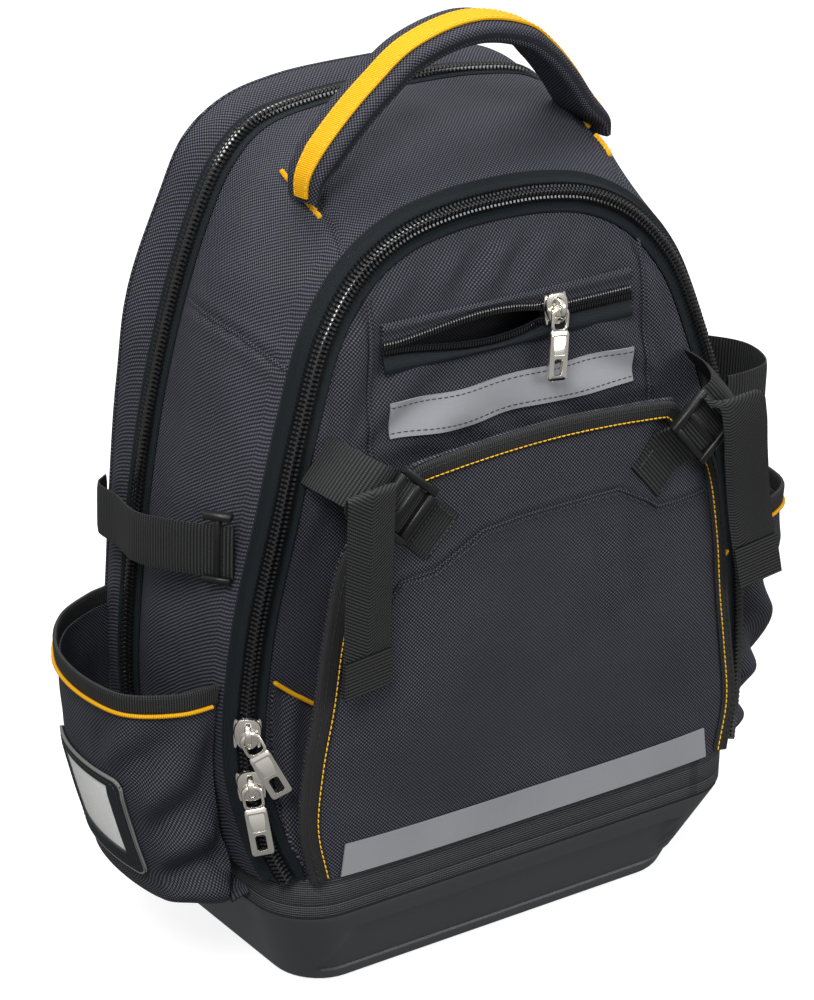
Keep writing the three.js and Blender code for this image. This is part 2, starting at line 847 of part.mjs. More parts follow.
// The slider and its pull at a place on a zip; tilt turns the pull about the outward way
function sliderPair(place, outward, upward, tilt) {
  const up = upward.clone().addScaledVector(outward, -upward.dot(outward)).normalize();
  const side = outward.clone().cross(up).normalize();
  const frame = new THREE.Matrix4().makeBasis(side, outward, up);
  const origin = new THREE.Quaternion().setFromRotationMatrix(frame);
  const turned = origin.clone().multiply(new THREE.Quaternion().setFromAxisAngle(Y, tilt));
  const pivot = place.clone().addScaledVector(outward, pullLevel);
  return { place, pivot, origin, turned };
}

// Side pockets

// The pocket's wall in plan: out as a share of its reach, depth as a place along the bag's side
const pocketRound = [
  { around: 0.0, out: 0.0, depth: -50 },
  { around: 0.12, out: 0.42, depth: -49 },
  { around: 0.26, out: 0.86, depth: -37 },
  { around: 0.38, out: 1.0, depth: -18 },
  { around: 0.52, out: 0.99, depth: 6 },
  { around: 0.66, out: 0.84, depth: 30 },
  { around: 0.8, out: 0.56, depth: 50 },
  { around: 0.92, out: 0.2, depth: 61 },
  { around: 1.0, out: 0.0, depth: 64 },
];
// The pocket's reach at shares of its height
const pocketUpright = [
  { rise: 0.0, reach: 0.68 },
  { rise: 0.1, reach: 0.71 },
  { rise: 0.3, reach: 0.8 },
  { rise: 0.55, reach: 0.89 },
  { rise: 0.8, reach: 0.95 },
  { rise: 1.0, reach: 1.0 },
];
const pocketReach = 52;
const pocketBottom = 54;
const hemWidth = 9.5;
const pipingRadius = 1.3;
const pocketSides = {
  left: { side: -1, hem: 166 },
  right: { side: 1, hem: 180 },
};

// The bag's side at a height and depth; below the bag, that of its foot
function bagSide(height, depth) {
  const z = Math.max(height, bodyBase);
  const rise = (z - bodyBase) / (frontTop - bodyBase);
  const frontEdge = -rimHalfDepth * leanAt(rise) + tapeOuter;
  const rearEdge = mainZipDepth - tapeInner;
  const front = lineHalf("front", z) + tapeOuter;
  const main = lineHalf("main", z);
  if (depth > rearEdge) {
    const behind = clamp((depth - rearEdge) / (backSeamDepth - rearEdge), 0, 1);
    return mix(main, lineHalf("back", z), behind) + 1 + seamRoom;
  }
  const share = clamp((depth - frontEdge) / (rearEdge - frontEdge), 0, 1);
  return mix(front, main, share) + gussetCrown * Math.sin(Math.PI * share) + seamRoom;
}

function pocketPlace(which, around, z) {
  const { side, hem } = pocketSides[which];
  const rise = clamp((z - pocketBottom) / (hem - pocketBottom), 0, 1);
  const depth = column(pocketRound, "around", "depth", around);
  const out = Math.max(0, column(pocketRound, "around", "out", around));
  const reach = pocketReach * column(pocketUpright, "rise", "reach", rise);
  const seat = mix(rimHalfWidth + 4, frontHalfWidth + 2, clamp(rise * 2, 0, 1));
  const wallX = Math.max(bagSide(z, depth) + 0.3, mix(bagSide(z, depth), seat + reach, out));
  return vec(side * wallX, depth, z);
}

function pocketGrid(which, z0, z1, rows, from = 0, to = 1, columns = 15) {
  const grid = Array.from({ length: rows + 1 }, (_, r) =>
    Array.from({ length: columns + 1 }, (_, c) =>
      pocketPlace(which, mix(from, to, c / columns), mix(z0, z1, r / rows)),
    ),
  );
  return pocketSides[which].side < 0 ? grid : grid.map((row) => row.slice().reverse());
}

function sidePocket(which) {
  const { hem } = pocketSides[which];
  const wallTop = hem - hemWidth - clearance;
  const wall = pocketGrid(which, pocketBottom, wallTop, 6);
  const closing = [0.04, 0.5].map((share) =>
    wall[0].map((p) => {
      const inner = pocketSides[which].side * (rimHalfWidth + clearance + 0.4);
      return vec(mix(inner, p.x, share), p.y, pocketBottom + 3 * (1 - share));
    }),
  );
  return sheet([...closing, ...wall], -clothWall, 0);
}

function pocketHem(which) {
  const { hem } = pocketSides[which];
  return sheet(pocketGrid(which, hem - hemWidth, hem, 1), -clothWall, 0.4);
}

function pocketPiping(which) {
  const { hem } = pocketSides[which];
  const grid = pocketGrid(which, hem - hemWidth - 3, hem - hemWidth, 2, 0.03, 0.97, 18);
  const normals = gridNormals(grid);
  const lift = seamRoom + pipingRadius;
  const path = grid[1].map((p, i) => p.clone().addScaledVector(normals[1][i], lift));
  const radius = path.map(() => pipingRadius);
  return bar(path, normals[1], radius, radius, 5);
}

// The name card's window on the left pocket
const cardPlace = { from: 0.3, to: 0.68, low: 66, high: 119, border: 6.5 };
function cardGrid(inset) {
  const step = inset * 0.0064;
  const { from, to, low, high } = cardPlace;
  return pocketGrid("left", low + inset, high - inset, 2, from + step, to - step, 4);
}

const cardWall = 0.6;
const idCard = () => sheet(cardGrid(cardPlace.border - 1.5), seamRoom, seamRoom + cardWall);
const windowLift = seamRoom + cardWall + clearance;
const idWindow = () =>
  sheet(cardGrid(cardPlace.border - 1.5), windowLift, windowLift + cardWall);

function idFrame() {
  const { from, to, low, high, border } = cardPlace;
  const step = border * 0.0064;
  const between = (a, b, steps) => Array.from({ length: steps + 1 }, (_, i) => mix(a, b, i / steps));
  const heights = [low, ...between(low + border, high - border, 2), high];
  const rounds = [from, ...between(from + step, to - step, 4), to];
  const grid = heights.map((z) => rounds.map((around) => pocketPlace("left", around, z)));
  const lastRow = heights.length - 2;
  const lastColumn = rounds.length - 2;
  const keep = (r, c) => r === 0 || c === 0 || r === lastRow || c === lastColumn;
  const lift = windowLift + cardWall + seamRoom;
  return sheet(grid, lift, lift + trimWall, { keep });
}

// Webbing straps round the sides, above the pockets

const sideStrapRows = {
  left: [
    { out: 3.6, depth: -49, z: 228 },
    { out: 8, depth: -41, z: 228 },
    { out: 12, depth: -22, z: 225 },
    { out: 16, depth: 4, z: 220 },
    { out: 17, depth: 32, z: 216 },
    { out: 12, depth: 54, z: 213 },
    { out: 2, depth: 64, z: 211 },
  ],
  right: [
    { out: 2.6, depth: -49, z: 240 },
    { out: 14, depth: -49, z: 240 },
    { out: 32, depth: -40, z: 238 },
    { out: 38, depth: -12, z: 236 },
    { out: 31, depth: 18, z: 233 },
    { out: 16, depth: 48, z: 229 },
    { out: 2, depth: 64, z: 226 },
  ],
};

function sideStrapPath(which, steps) {
  const { side } = pocketSides[which];
  const chosen = sideStrapRows[which].map((row) =>
    vec(side * (bagSide(row.z, row.depth) + row.out), row.depth, row.z),
  );
  return smoothPath(chosen, steps);
}

function sideStrap(which) {
  const path = sideStrapPath(which, 16);
  return ribbon(path, path.map(() => Z), webbingWidth, webbingWall);
}

const glide = { along: 14, across: 33, wall: 5.4 };
function sideGlide(which) {
  const path = sideStrapPath(which, 40);
  const spot = 6;
  const along = path[spot + 1].clone().sub(path[spot - 1]).normalize();
  const out = Z.clone().cross(along).normalize();
  const frame = new THREE.Matrix4().makeBasis(along, out, Z).setPosition(path[spot]);
  const body = new THREE.BoxGeometry(glide.along, glide.wall, glide.across);
  const slot = new THREE.BoxGeometry(
    glide.along * 2,
    webbingWall + 5 * clearance,
    webbingWidth + 7 * clearance,
  );
  return cut(body, slot).applyMatrix4(frame);
}

// The front straps, their buckles and the tabs on the flap

const buckle = { length: 24, width: 30, wall: 3.6, slot: 5, rail: 3 };
const strapSlope = THREE.MathUtils.degToRad(42);
const tabPlace = { x: 66, z: 238, length: 22 };
const bucklePlace = { x: 85, z: 255 };

// The way from the tab up and out to the zip's seam, and the way across the strap
const strapWay = (side) => vec(side * Math.cos(strapSlope), 0, Math.sin(strapSlope));
const strapAcross = (side) => vec(-side * Math.sin(strapSlope), 0, Math.cos(strapSlope));

function flapTab(side) {
  const way = strapWay(side);
  const across = strapAcross(side);
  const middle = vec(side * tabPlace.x, 0, tabPlace.z);
  const shares = [-0.5, 0, 0.5];
  const grid = [-0.5, -0.17, 0.17, 0.5].map((u) =>
    shares.map((v) => {
      const p = middle
        .clone()
        .addScaledVector(way, u * tabPlace.length)
        .addScaledVector(across, v * webbingWidth);
      p.y = flapFace(p.x, Math.min(p.z, flapTop));
      return p;
    }),
  );
  const lift = seamRoom;
  const turned = side < 0 ? grid : grid.map((row) => row.slice().reverse());
  return sheet(turned, lift, lift + webbingWall);
}

const buckleLevel = -flapReach - 6.5;

function ladderLock(side) {
  const shape = new THREE.Shape();
  const halfLength = buckle.length / 2;
  const halfWidth = buckle.width / 2;
  shape.moveTo(-halfLength + 2, -halfWidth);
  shape.lineTo(halfLength - 2, -halfWidth);
  shape.lineTo(halfLength, -halfWidth + 2);
  shape.lineTo(halfLength, halfWidth - 2);
  shape.lineTo(halfLength - 2, halfWidth);
  shape.lineTo(-halfLength + 2, halfWidth);
  shape.lineTo(-halfLength, halfWidth - 2);
  shape.lineTo(-halfLength, -halfWidth + 2);
  const solid = new THREE.ExtrudeGeometry(shape, {
    depth: buckle.wall,
    bevelEnabled: false,
    steps: 1,
  });
  const opening = webbingWidth + 2 * clearance;
  const slots = [-1, 1].map((end) =>
    block(
      buckle.slot,
      opening,
      buckle.wall * 4,
      vec(end * (halfLength - buckle.rail - buckle.slot / 2), 0, 0),
    ),
  );
  const plate = cut(solid, ...slots);
  const way = strapWay(side);
  const across = strapAcross(side);
  const out = way.clone().cross(across);
  const frame = new THREE.Matrix4()
    .makeBasis(way, across, out)
    .setPosition(vec(side * bucklePlace.x, buckleLevel, bucklePlace.z));
  return plate.applyMatrix4(frame).applyMatrix4(
    new THREE.Matrix4().makeTranslation(0, (side * buckle.wall) / 2, 0),
  );
}

// The strap from the zip's seam forward to the buckle
function frontStrap(side) {
  const across = strapAcross(side);
  const chosen = [
    vec(side * 108, -60.8, 270),
    vec(side * 107.8, -70, 270),
    vec(side * 106, -81, 269),
    vec(side * 101, buckleLevel + 4.2, 266),
    vec(side * 92, buckleLevel + 3.4, 261),
  ];
  const path = smoothPath(chosen, 10);
  const sides = path.map(() => across);
  return ribbon(path, sides, webbingWidth, webbingWall);
}

// Free strap ends: chosen points of each, and the way across at its top and bottom
const tails = {
  left: {
    points: [
      [-91, -98, 262.5],
      [-95.5, -100, 267.5],
      [-99.5, -102.2, 266.5],
      [-100, -102.4, 258],
      [-99.5, -100.5, 235],
      [-98, -96, 200],
      [-97.5, -94, 166],
    ],
    across: [1, 0, 0.1],
  },
  right: {
    points: [
      [91, -98.4, 262],
      [98, -100.6, 267.5],
      [107, -102.4, 266],
      [112, -102.4, 256],
      [118, -98.5, 235],
      [129, -92, 200],
      [138, -91, 164],
    ],
    across: [0.93, -0.3, 0.15],
  },
};

function strapTail(which) {
  const tail = tails[which];
  const path = smoothPath(tail.points.map((p) => vec(...p)), 18);
  const side = which === "left" ? -1 : 1;
  const top = strapAcross(side).multiplyScalar(-side);
  const low = vec(...tail.across).normalize();
  const sides = path.map((_, i) => {
    const share = clamp((i / (path.length - 1)) * 4, 0, 1);
    return top.clone().lerp(low, share).normalize();
  });
  return ribbon(path, sides, webbingWidth, webbingWall);
}

// Carrying handle

const handleRows = [
  { x: -0.97, rise: 0.0, depth: 0.0, wide: 1.2, thick: 0.25 },
  { x: -0.955, rise: 0.11, depth: 0.0, wide: 1.12, thick: 0.5 },
  { x: -0.86, rise: 0.24, depth: 0.0, wide: 1.0, thick: 0.9 },
  { x: -0.68, rise: 0.49, depth: 0.0, wide: 1.0, thick: 1.0 },
  { x: -0.53, rise: 0.68, depth: 0.0, wide: 1.0, thick: 1.0 },
  { x: -0.34, rise: 0.88, depth: 0.0, wide: 1.0, thick: 1.0 },
  { x: 0.0, rise: 1.0, depth: 0.0, wide: 1.0, thick: 1.0 },
  { x: 0.33, rise: 0.88, depth: 0.1, wide: 1.0, thick: 1.0 },
  { x: 0.51, rise: 0.68, depth: 0.3, wide: 1.0, thick: 1.0 },
  { x: 0.67, rise: 0.44, depth: 0.5, wide: 1.0, thick: 1.0 },
  { x: 0.82, rise: 0.2, depth: 0.75, wide: 1.0, thick: 0.9 },
  { x: 0.955, rise: 0.05, depth: 0.95, wide: 1.12, thick: 0.5 },
  { x: 0.985, rise: -0.03, depth: 1.0, wide: 1.2, thick: 0.25 },
];
const handleHalfSpan = 91;
const handleDepth = -13;
const handleSkew = 15;
const handleFoot = 377;
const handleTop = 438;
const handleHalfWidth = 13;
const handleHalfHeight = 9;

function handleSweep(steps) {
  const last = handleRows.length - 1;
  const chosen = handleRows.map((row) =>
    vec(
      row.x * handleHalfSpan,
      handleDepth + row.depth * handleSkew,
      mix(handleFoot, handleTop, row.rise),
    ),
  );
  const path = smoothPath(chosen, steps);
  const at = (key, size) =>
    path.map((_, i) => {
      const place = (i / steps) * last;
      const low = Math.min(Math.floor(place), last - 1);
      return size * mix(handleRows[low][key], handleRows[low + 1][key], place - low);
    });
  const up = path.map((p, i) => {
    const before = path[Math.max(i - 1, 0)];
    const after = path[Math.min(i + 1, steps)];
    return after.clone().sub(before).normalize().cross(Y);
  });
  return { path, up, wide: at("wide", handleHalfWidth), thick: at("thick", handleHalfHeight) };
}

function handleGrip() {
  const { path, up, wide, thick } = handleSweep(handleSteps);
  return bar(path, up, wide, thick, 10);
}

const handleSteps = 24;
const handleStripHalf = 5.6;
function handleStrip() {
  const { path, up, thick } = handleSweep(handleSteps);
  const kept = path.slice(1, -1);
  const grid = [-1, 1].map((side) =>
    kept.map((p, i) =>
      p
        .clone()
        .addScaledVector(up[i + 1], thick[i + 1])
        .addScaledVector(Y, side * handleStripHalf),
    ),
  );
  return sheet(grid, clearance, clearance + trimWall);
}

// Shoulder straps on the back, which the front view doesn't show

const backFace = backSeamDepth + clothWall + backPadding + seamRoom;
const shoulderRows = [
  { x: 34, out: 5, z: 350 },
  { x: 38, out: 11, z: 361 },
  { x: 44, out: 20, z: 354 },
  { x: 52, out: 27, z: 322 },
  { x: 66, out: 29, z: 276 },
  { x: 80, out: 25, z: 230 },
  { x: 90, out: 18, z: 185 },
];
const shoulderWidth = 58;
const shoulderWall = 11;

function shoulderPath(side, rows, steps) {
  return smoothPath(rows.map((row) => vec(side * row.x, backFace + row.out, row.z)), steps);
}

function shoulderStrap(side) {
  const path = shoulderPath(side, shoulderRows, 16);
  const up = path.map((p, i) => {
    const before = path[Math.max(i - 1, 0)];
    const after = path[Math.min(i + 1, path.length - 1)];
    return after.clone().sub(before).normalize().cross(X);
  });
  const wide = path.map((_, i) => {
    const share = i / (path.length - 1);
    const taper = share > 0.8 ? mix(1, 0.62, (share - 0.8) / 0.2) : 1;
    return (shoulderWidth / 2) * taper;
  });
  const thick = path.map(() => shoulderWall / 2);
  return bar(path, up, wide, thick, 8);
}

const strapEndRows = [
  { x: 92, out: 15.5, z: 167.5 },
  { x: 97, out: 13.5, z: 145 },
  { x: 104, out: 9, z: 115 },
  { x: 109, out: -1.5, z: 88 },
  { x: 111, out: -5, z: 78 },
];

function strapEnd(side) {
  const path = shoulderPath(side, strapEndRows, 8);
  return ribbon(path, path.map(() => X), webbingWidth, webbingWall);
}

function strapLock(side) {
  const row = shoulderRows[shoulderRows.length - 1];
  const centre = vec(side * (row.x + 1.6), backFace + row.out - 2, row.z - 9.6);
  const body = block(webbingWidth + 7, buckle.wall + 2, 12, vec(0, 0, 0));
  const slot = block(webbingWidth + 2 * clearance, webbingWall + 2 * clearance, 30, vec(0, 0, 0));
  return cut(body, slot).translate(centre.x, centre.y, centre.z);
}

// The pocket inside the front compartment's face, and its piping
const innerHem = [
  { x: 0.0, z: 0.73 },
  { x: 0.5, z: 0.74 },
  { x: 0.78, z: 0.79 },
  { x: 0.9, z: 0.89 },
  { x: 1.0, z: 1.0 },
];
const innerPocketTop = 168;
const innerPocketHalf = 133;

function innerHemHeight(x) {
  const share = Math.abs(x) / innerPocketHalf;
  return mix(bodyBase, innerPocketTop, column(innerHem, "x", "z", share));
}

function innerPocketPlace(share, rise) {
  const wide = innerPocketHalf * share;
  const z = mix(bodyBase, innerHemHeight(wide), rise);
  const limit = lineHalf("front", z) - tapeInner - 1.2;
  const x = clamp(wide, -limit, limit);
  return vec(x, panelFace(x, z), z);
}

function innerPocket() {
  const shares = [-1, -0.94, -0.86, -0.76, -0.6, -0.3, 0, 0.3, 0.6, 0.76, 0.86, 0.94, 1];
  const grid = [0, 0.25, 0.5, 0.75, 1].map((rise) =>
    shares.map((share) => innerPocketPlace(share, rise)),
  );
  return sheet(grid, seamRoom, seamRoom + trimWall, { floor: bodyBase });
}

function innerPiping(side) {
  const shares = [0.995, 0.97, 0.94, 0.9, 0.86];
  const path = shares.map((share) => {
    const p = innerPocketPlace(side * share, 1);
    p.z += pipingRadius + clearance;
    p.y -= pipingRadius + 3 * seamRoom;
    return p;
  });
  const radius = path.map(() => pipingRadius);
  return bar(path, path.map(() => vec(0, -1, 0)), radius, radius, 5);
}

// The padded panel that lies against the wearer's back
function backPad() {
  const halfWidth = 62;
  const low = 118;
  const high = 330;
  const rows = 6;
  const columns = 5;
  const surface = (u, v) => vec(mix(-halfWidth, halfWidth, u), backFace + clearance, mix(low, high, v));
  const grid = (swell) =>
    Array.from({ length: rows + 1 }, (_, r) =>
      Array.from({ length: columns + 1 }, (_, c) => {
        const p = surface(c / columns, r / rows);
        const edge = Math.min(c, columns - c, r, rows - r);
        p.y += swell * Math.min(1, 0.35 + 0.4 * edge);
        return p;
      }),
    );
  return closedPair(grid(9), grid(0));
}

// The main zip's slider rests out of sight at the foot of its right leg
function mainSlider() {
  const { point, normal } = shellPlace(shellIndex.main_zip, archSteps - 4.6);
  const lift = coilHeight + seamRoom + 3;
  const p = point.clone().addScaledVector(normal, lift);
  return block(4.6, 10, 15, p);
}

// Materials

const black = { roughness: 0.85, metalness: 0 };
const materials = {
  cloth: new THREE.MeshStandardMaterial({ color: 0x26262b, ...black }),
  webbing: new THREE.MeshStandardMaterial({ color: 0x1b1b1d, ...black }),
  zipTape: new THREE.MeshStandardMaterial({ color: 0x22282b, ...black }),
  zipCoil: new THREE.MeshStandardMaterial({ color: 0x151618, roughness: 0.3, metalness: 0 }),
  plastic: new THREE.MeshStandardMaterial({ color: 0x19191b, roughness: 0.45, metalness: 0 }),
  tray: new THREE.MeshStandardMaterial({ color: 0x3a3c3e, roughness: 0.6, metalness: 0 }),
  metal: new THREE.MeshStandardMaterial({ color: 0xc8c6c0, roughness: 0.25, metalness: 1 }),
  yellow: new THREE.MeshStandardMaterial({ color: 0xf2b91e, roughness: 0.7, metalness: 0 }),
  reflective: new THREE.MeshStandardMaterial({ color: 0x989a9e, roughness: 0.4, metalness: 0 }),
  window: new THREE.MeshStandardMaterial({ color: 0xe4e6e8, roughness: 0.15, metalness: 0 }),
  card: new THREE.MeshStandardMaterial({ color: 0xf0f0ee, roughness: 0.8, metalness: 0 }),
};

// The assembly

const backpack = new THREE.Group();

function add(name, material, geometry) {
  const mesh = new THREE.Mesh(geometry, materials[material]);
  mesh.name = name;
  backpack.add(mesh);
  return mesh;
}

function addSlider(name, place, outward, upward, tilt) {
  const pair = sliderPair(place, outward, upward, tilt);
  const body = add(`${name}_slider`, "metal", sliderGeometry());
  body.position.copy(pair.place);
  body.quaternion.copy(pair.origin);
  const tag = add(`${name}_pull`, "metal", pullGeometry());
  tag.position.copy(pair.pivot);
  tag.quaternion.copy(pair.turned);
}

add("base_tray", "tray", baseTray());
add("base_band", "webbing", baseBand());
add("main_gusset", "cloth", shellSheet("gusset_front", "gusset_rear", clothWall));
add("rear_gusset", "cloth", shellSheet("rear_front", "back_seam", clothWall));
add("front_zip_tape", "zipTape", shellSheet("panel_seam", "gusset_front", trimWall));
add("front_zip_coil", "zipCoil", coil("front_zip"));
add("main_zip_tape", "zipTape", shellSheet("gusset_rear", "rear_front", trimWall));
add("main_zip_coil", "zipCoil", coil("main_zip"));
add("main_slider", "metal", mainSlider());
add("front_panel", "cloth", frontPanel());
add("back_panel", "cloth", backPanel());
add("back_pad", "cloth", backPad());

add("zip_pocket_back", "cloth", zipPocketBack());
add("pocket_zip_upper", "zipTape", pocketZipHalf(1));
add("pocket_zip_lower", "zipTape", pocketZipHalf(-1));
add("reflective_tape", "reflective", patch(onPanel, -68.5, 68.5, 270, 287, 8, 1, 0.8));
add("inner_pocket", "cloth", innerPocket());
add("left_inner_piping", "yellow", innerPiping(-1));
add("right_inner_piping", "yellow", innerPiping(1));

add("tool_flap", "cloth", toolFlap());
add("left_flap_pleat", "cloth", flapPleat(-1));
add("right_flap_pleat", "cloth", flapPleat(1));
add("flap_binding", "webbing", flapBinding());
const stripHalf = 108;
add(
  "reflective_strip",
  "reflective",
  patch(onFlap, -stripHalf, stripHalf, bodyBase, bodyBase + 16, 14, 1, 0.8),
);

["left", "right"].forEach((which) => {
  const { side } = pocketSides[which];
  add(`${which}_pocket`, "cloth", sidePocket(which));
  add(`${which}_pocket_hem`, "webbing", pocketHem(which));
  add(`${which}_pocket_piping`, "yellow", pocketPiping(which));
  add(`${which}_side_strap`, "webbing", sideStrap(which));
  add(`${which}_tab`, "webbing", flapTab(side));
  add(`${which}_buckle`, "plastic", ladderLock(side));
  add(`${which}_front_strap`, "webbing", frontStrap(side));
  add(`${which}_strap_tail`, "webbing", strapTail(which));
  add(`${which}_shoulder_strap`, "cloth", shoulderStrap(side));
  add(`${which}_strap_end`, "webbing", strapEnd(side));
  add(`${which}_strap_lock`, "plastic", strapLock(side));
});

add("left_triglide", "plastic", sideGlide("left"));
add("id_card", "card", idCard());
add("id_window", "window", idWindow());
add("id_frame", "webbing", idFrame());

add("handle_grip", "webbing", handleGrip());
add("handle_strip", "yellow", handleStrip());

// Sliders: two on the front zip's left leg and one on the small pocket
const frontSliders = [
  { name: "upper", along: 3.55, tilt: 30 },
  { name: "lower", along: 2.4, tilt: 2 },
];
frontSliders.forEach(({ name, along, tilt }) => {
  const { point, normal } = shellPlace(shellIndex.front_zip, along);
  const upward = shell[shellIndex.front_zip][Math.ceil(along)]
    .clone()
    .sub(shell[shellIndex.front_zip][Math.floor(along)]);
  addSlider(name, point, normal, upward, THREE.MathUtils.degToRad(tilt));
});
const pocketSliderX = 23;
const pocketSpot = onPanel(pocketSliderX, zipSlit.middle + 2);
const pocketUp = onPanel(pocketSliderX, zipSlit.middle + 6).sub(pocketSpot).normalize();
const pocketOut = X.clone().cross(pocketUp);
addSlider("pocket", pocketSpot, pocketOut, pocketUp, THREE.MathUtils.degToRad(-8));

export default backpack;
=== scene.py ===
"""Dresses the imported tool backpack: woven cloth, webbing, zips, stitches, tray and hardware.

Lengths are in millimetres until a mesh is made; Blender's own units are metres.
"""

import json
import math

import bpy
import numpy as np
from mathutils import Matrix, Vector, noise


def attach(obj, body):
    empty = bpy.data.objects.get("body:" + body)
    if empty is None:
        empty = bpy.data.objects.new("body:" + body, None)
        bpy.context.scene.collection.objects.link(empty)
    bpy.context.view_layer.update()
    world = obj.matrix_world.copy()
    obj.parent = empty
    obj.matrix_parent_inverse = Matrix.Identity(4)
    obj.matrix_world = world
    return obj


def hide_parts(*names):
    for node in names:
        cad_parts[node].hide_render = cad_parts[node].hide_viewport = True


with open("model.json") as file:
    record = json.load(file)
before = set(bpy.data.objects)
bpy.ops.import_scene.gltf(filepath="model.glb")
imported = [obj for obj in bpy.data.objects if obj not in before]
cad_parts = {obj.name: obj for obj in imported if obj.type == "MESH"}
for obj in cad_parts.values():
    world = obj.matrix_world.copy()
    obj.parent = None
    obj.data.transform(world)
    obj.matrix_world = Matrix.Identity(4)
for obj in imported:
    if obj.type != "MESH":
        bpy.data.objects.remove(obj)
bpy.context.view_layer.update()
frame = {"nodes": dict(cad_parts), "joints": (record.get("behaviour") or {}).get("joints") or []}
MM = 0.001

# Sizes shared with the solids
CLEARANCE = 0.3
SEAM_ROOM = 0.9
CLOTH = 2.0
TRIM = 1.2
WEBBING_WIDTH = 25.0
WEBBING_WALL = 1.6
RIM = (135.0, 86.5, 30.0)
FOOT = (112.0, 65.0, 24.0)
TRAY_HEIGHT = 50.0
BAND_TOP = 71.0
BODY_BASE = 71.3
ZIP_DEPTH = 42.0
BACK_DEPTH = 66.0
BACK_PADDING = 9.0
CROWN = 8.0
TAPE_INNER = 9.0
TAPE_OUTER = 8.0

ARCH = {
    "rise": [0.0, 0.06, 0.19, 0.39, 0.585, 0.72, 0.85, 0.93, 0.975, 0.995, 1.0],
    "front": [0.91, 0.955, 1.0, 0.965, 0.875, 0.79, 0.68, 0.54, 0.375, 0.19, 0.0],
    "main": [0.95, 0.97, 1.0, 0.975, 0.915, 0.845, 0.745, 0.65, 0.535, 0.315, 0.0],
    "back": [0.965, 0.98, 1.0, 0.985, 0.95, 0.907, 0.79, 0.693, 0.545, 0.34, 0.0],
    "lean": [0.9, 0.83, 0.73, 0.69, 0.685, 0.64, 0.58, 0.53, 0.505, 0.5, 0.5],
}
LINES = {"front": (144.0, 366.0), "main": (142.0, 398.0), "back": (140.0, 403.5)}
FLAP = {
    "rise": [0.0, 0.14, 0.3, 0.45, 0.62, 0.81, 0.9, 1.0],
    "half": [0.96, 1.0, 0.975, 0.935, 0.9, 0.83, 0.715, 0.575],
    "proud": [1.0, 1.005, 1.02, 1.025, 1.02, 1.005, 0.995, 0.98],
    "wrap": [0.3, 0.6, 0.95, 1.0, 1.0, 0.9, 0.5, 0.0],
}
FLAP_HALF = 128.0
FLAP_TOP = 268.0
FLAP_BOW = 5.0
FLAP_REACH = 88.0
FLAP_WRAP = 10.0
ROUND = {
    "around": [0.0, 0.12, 0.26, 0.38, 0.52, 0.66, 0.8, 0.92, 1.0],
    "out": [0.0, 0.42, 0.86, 1.0, 0.99, 0.84, 0.56, 0.2, 0.0],
    "depth": [-50.0, -49.0, -37.0, -18.0, 6.0, 30.0, 50.0, 61.0, 64.0],
}
UPRIGHT = {"rise": [0.0, 0.1, 0.3, 0.55, 0.8, 1.0], "reach": [0.68, 0.71, 0.8, 0.89, 0.95, 1.0]}
POCKET_REACH = 52.0
POCKET_LOW = 54.0
HEM = {"left": 166.0, "right": 180.0}
HEM_WIDTH = 9.5
SIDE = {"left": -1.0, "right": 1.0}


# Curves and tables


def column(table, place, key, at):
    """A table's column at places between its rows, on the same smooth curve as the solids."""
    x = np.array(table[place])
    y = np.array(table[key])
    at = np.clip(np.asarray(at, float), x[0], x[-1])
    i = np.clip(np.searchsorted(x, at, side="right") - 1, 0, len(x) - 2)
    low = np.maximum(i - 1, 0)
    high = np.minimum(i + 2, len(x) - 1)
    span = x[i + 1] - x[i]
    t = (at - x[i]) / span
    slope_a = span * (y[i + 1] - y[low]) / (x[i + 1] - x[low])
    slope_b = span * (y[high] - y[i]) / (x[high] - x[i])
    t2 = t * t
    t3 = t2 * t
    return (
        (2 * t3 - 3 * t2 + 1) * y[i]
        + (t3 - 2 * t2 + t) * slope_a
        + (3 * t2 - 2 * t3) * y[i + 1]
        + (t3 - t2) * slope_b
    )


def curve(points, steps):
    """A centripetal Catmull-Rom curve with the same number of steps in each span."""
    p = np.array(points, float)
    p = np.vstack([2 * p[0] - p[1], p, 2 * p[-1] - p[-2]])
    spans = len(p) - 3
    at = np.linspace(0, spans, steps + 1)
    i = np.minimum(at.astype(int), spans - 1)
    t = (at - i)[:, None]
    a, b, c, d = p[i], p[i + 1], p[i + 2], p[i + 3]
    gap = lambda u, v: np.maximum(np.linalg.norm(v - u, axis=1), 1e-6)[:, None] ** 0.5
    d0, d1, d2 = gap(a, b), gap(b, c), gap(c, d)
    t1 = d1 * ((b - a) / d0 - (c - a) / (d0 + d1) + (c - b) / d1)
    t2 = d1 * ((c - b) / d1 - (d - b) / (d1 + d2) + (d - c) / d2)
    c2 = -3 * b + 3 * c - 2 * t1 - t2
    c3 = 2 * b - 2 * c + t1 + t2
    return b + t1 * t + c2 * t**2 + c3 * t**3


def spaced(path, steps):
    """The same path with points at equal distances."""
    reach = np.concatenate([[0], np.cumsum(np.linalg.norm(np.diff(path, axis=0), axis=1))])
    at = np.linspace(0, reach[-1], steps + 1)
    return np.stack([np.interp(at, reach, path[:, k]) for k in range(3)], axis=1)


def length(path):
    return float(np.linalg.norm(np.diff(path, axis=0), axis=1).sum())


def unit(v):
    return v / np.maximum(np.linalg.norm(v, axis=-1, keepdims=True), 1e-9)


def tangents(path):
    return unit(np.gradient(path, axis=0))


def normals_of(grid):
    """Unit normals of a grid, towards (column step) x (row step)."""
    return unit(np.cross(np.gradient(grid, axis=1), np.gradient(grid, axis=0)))


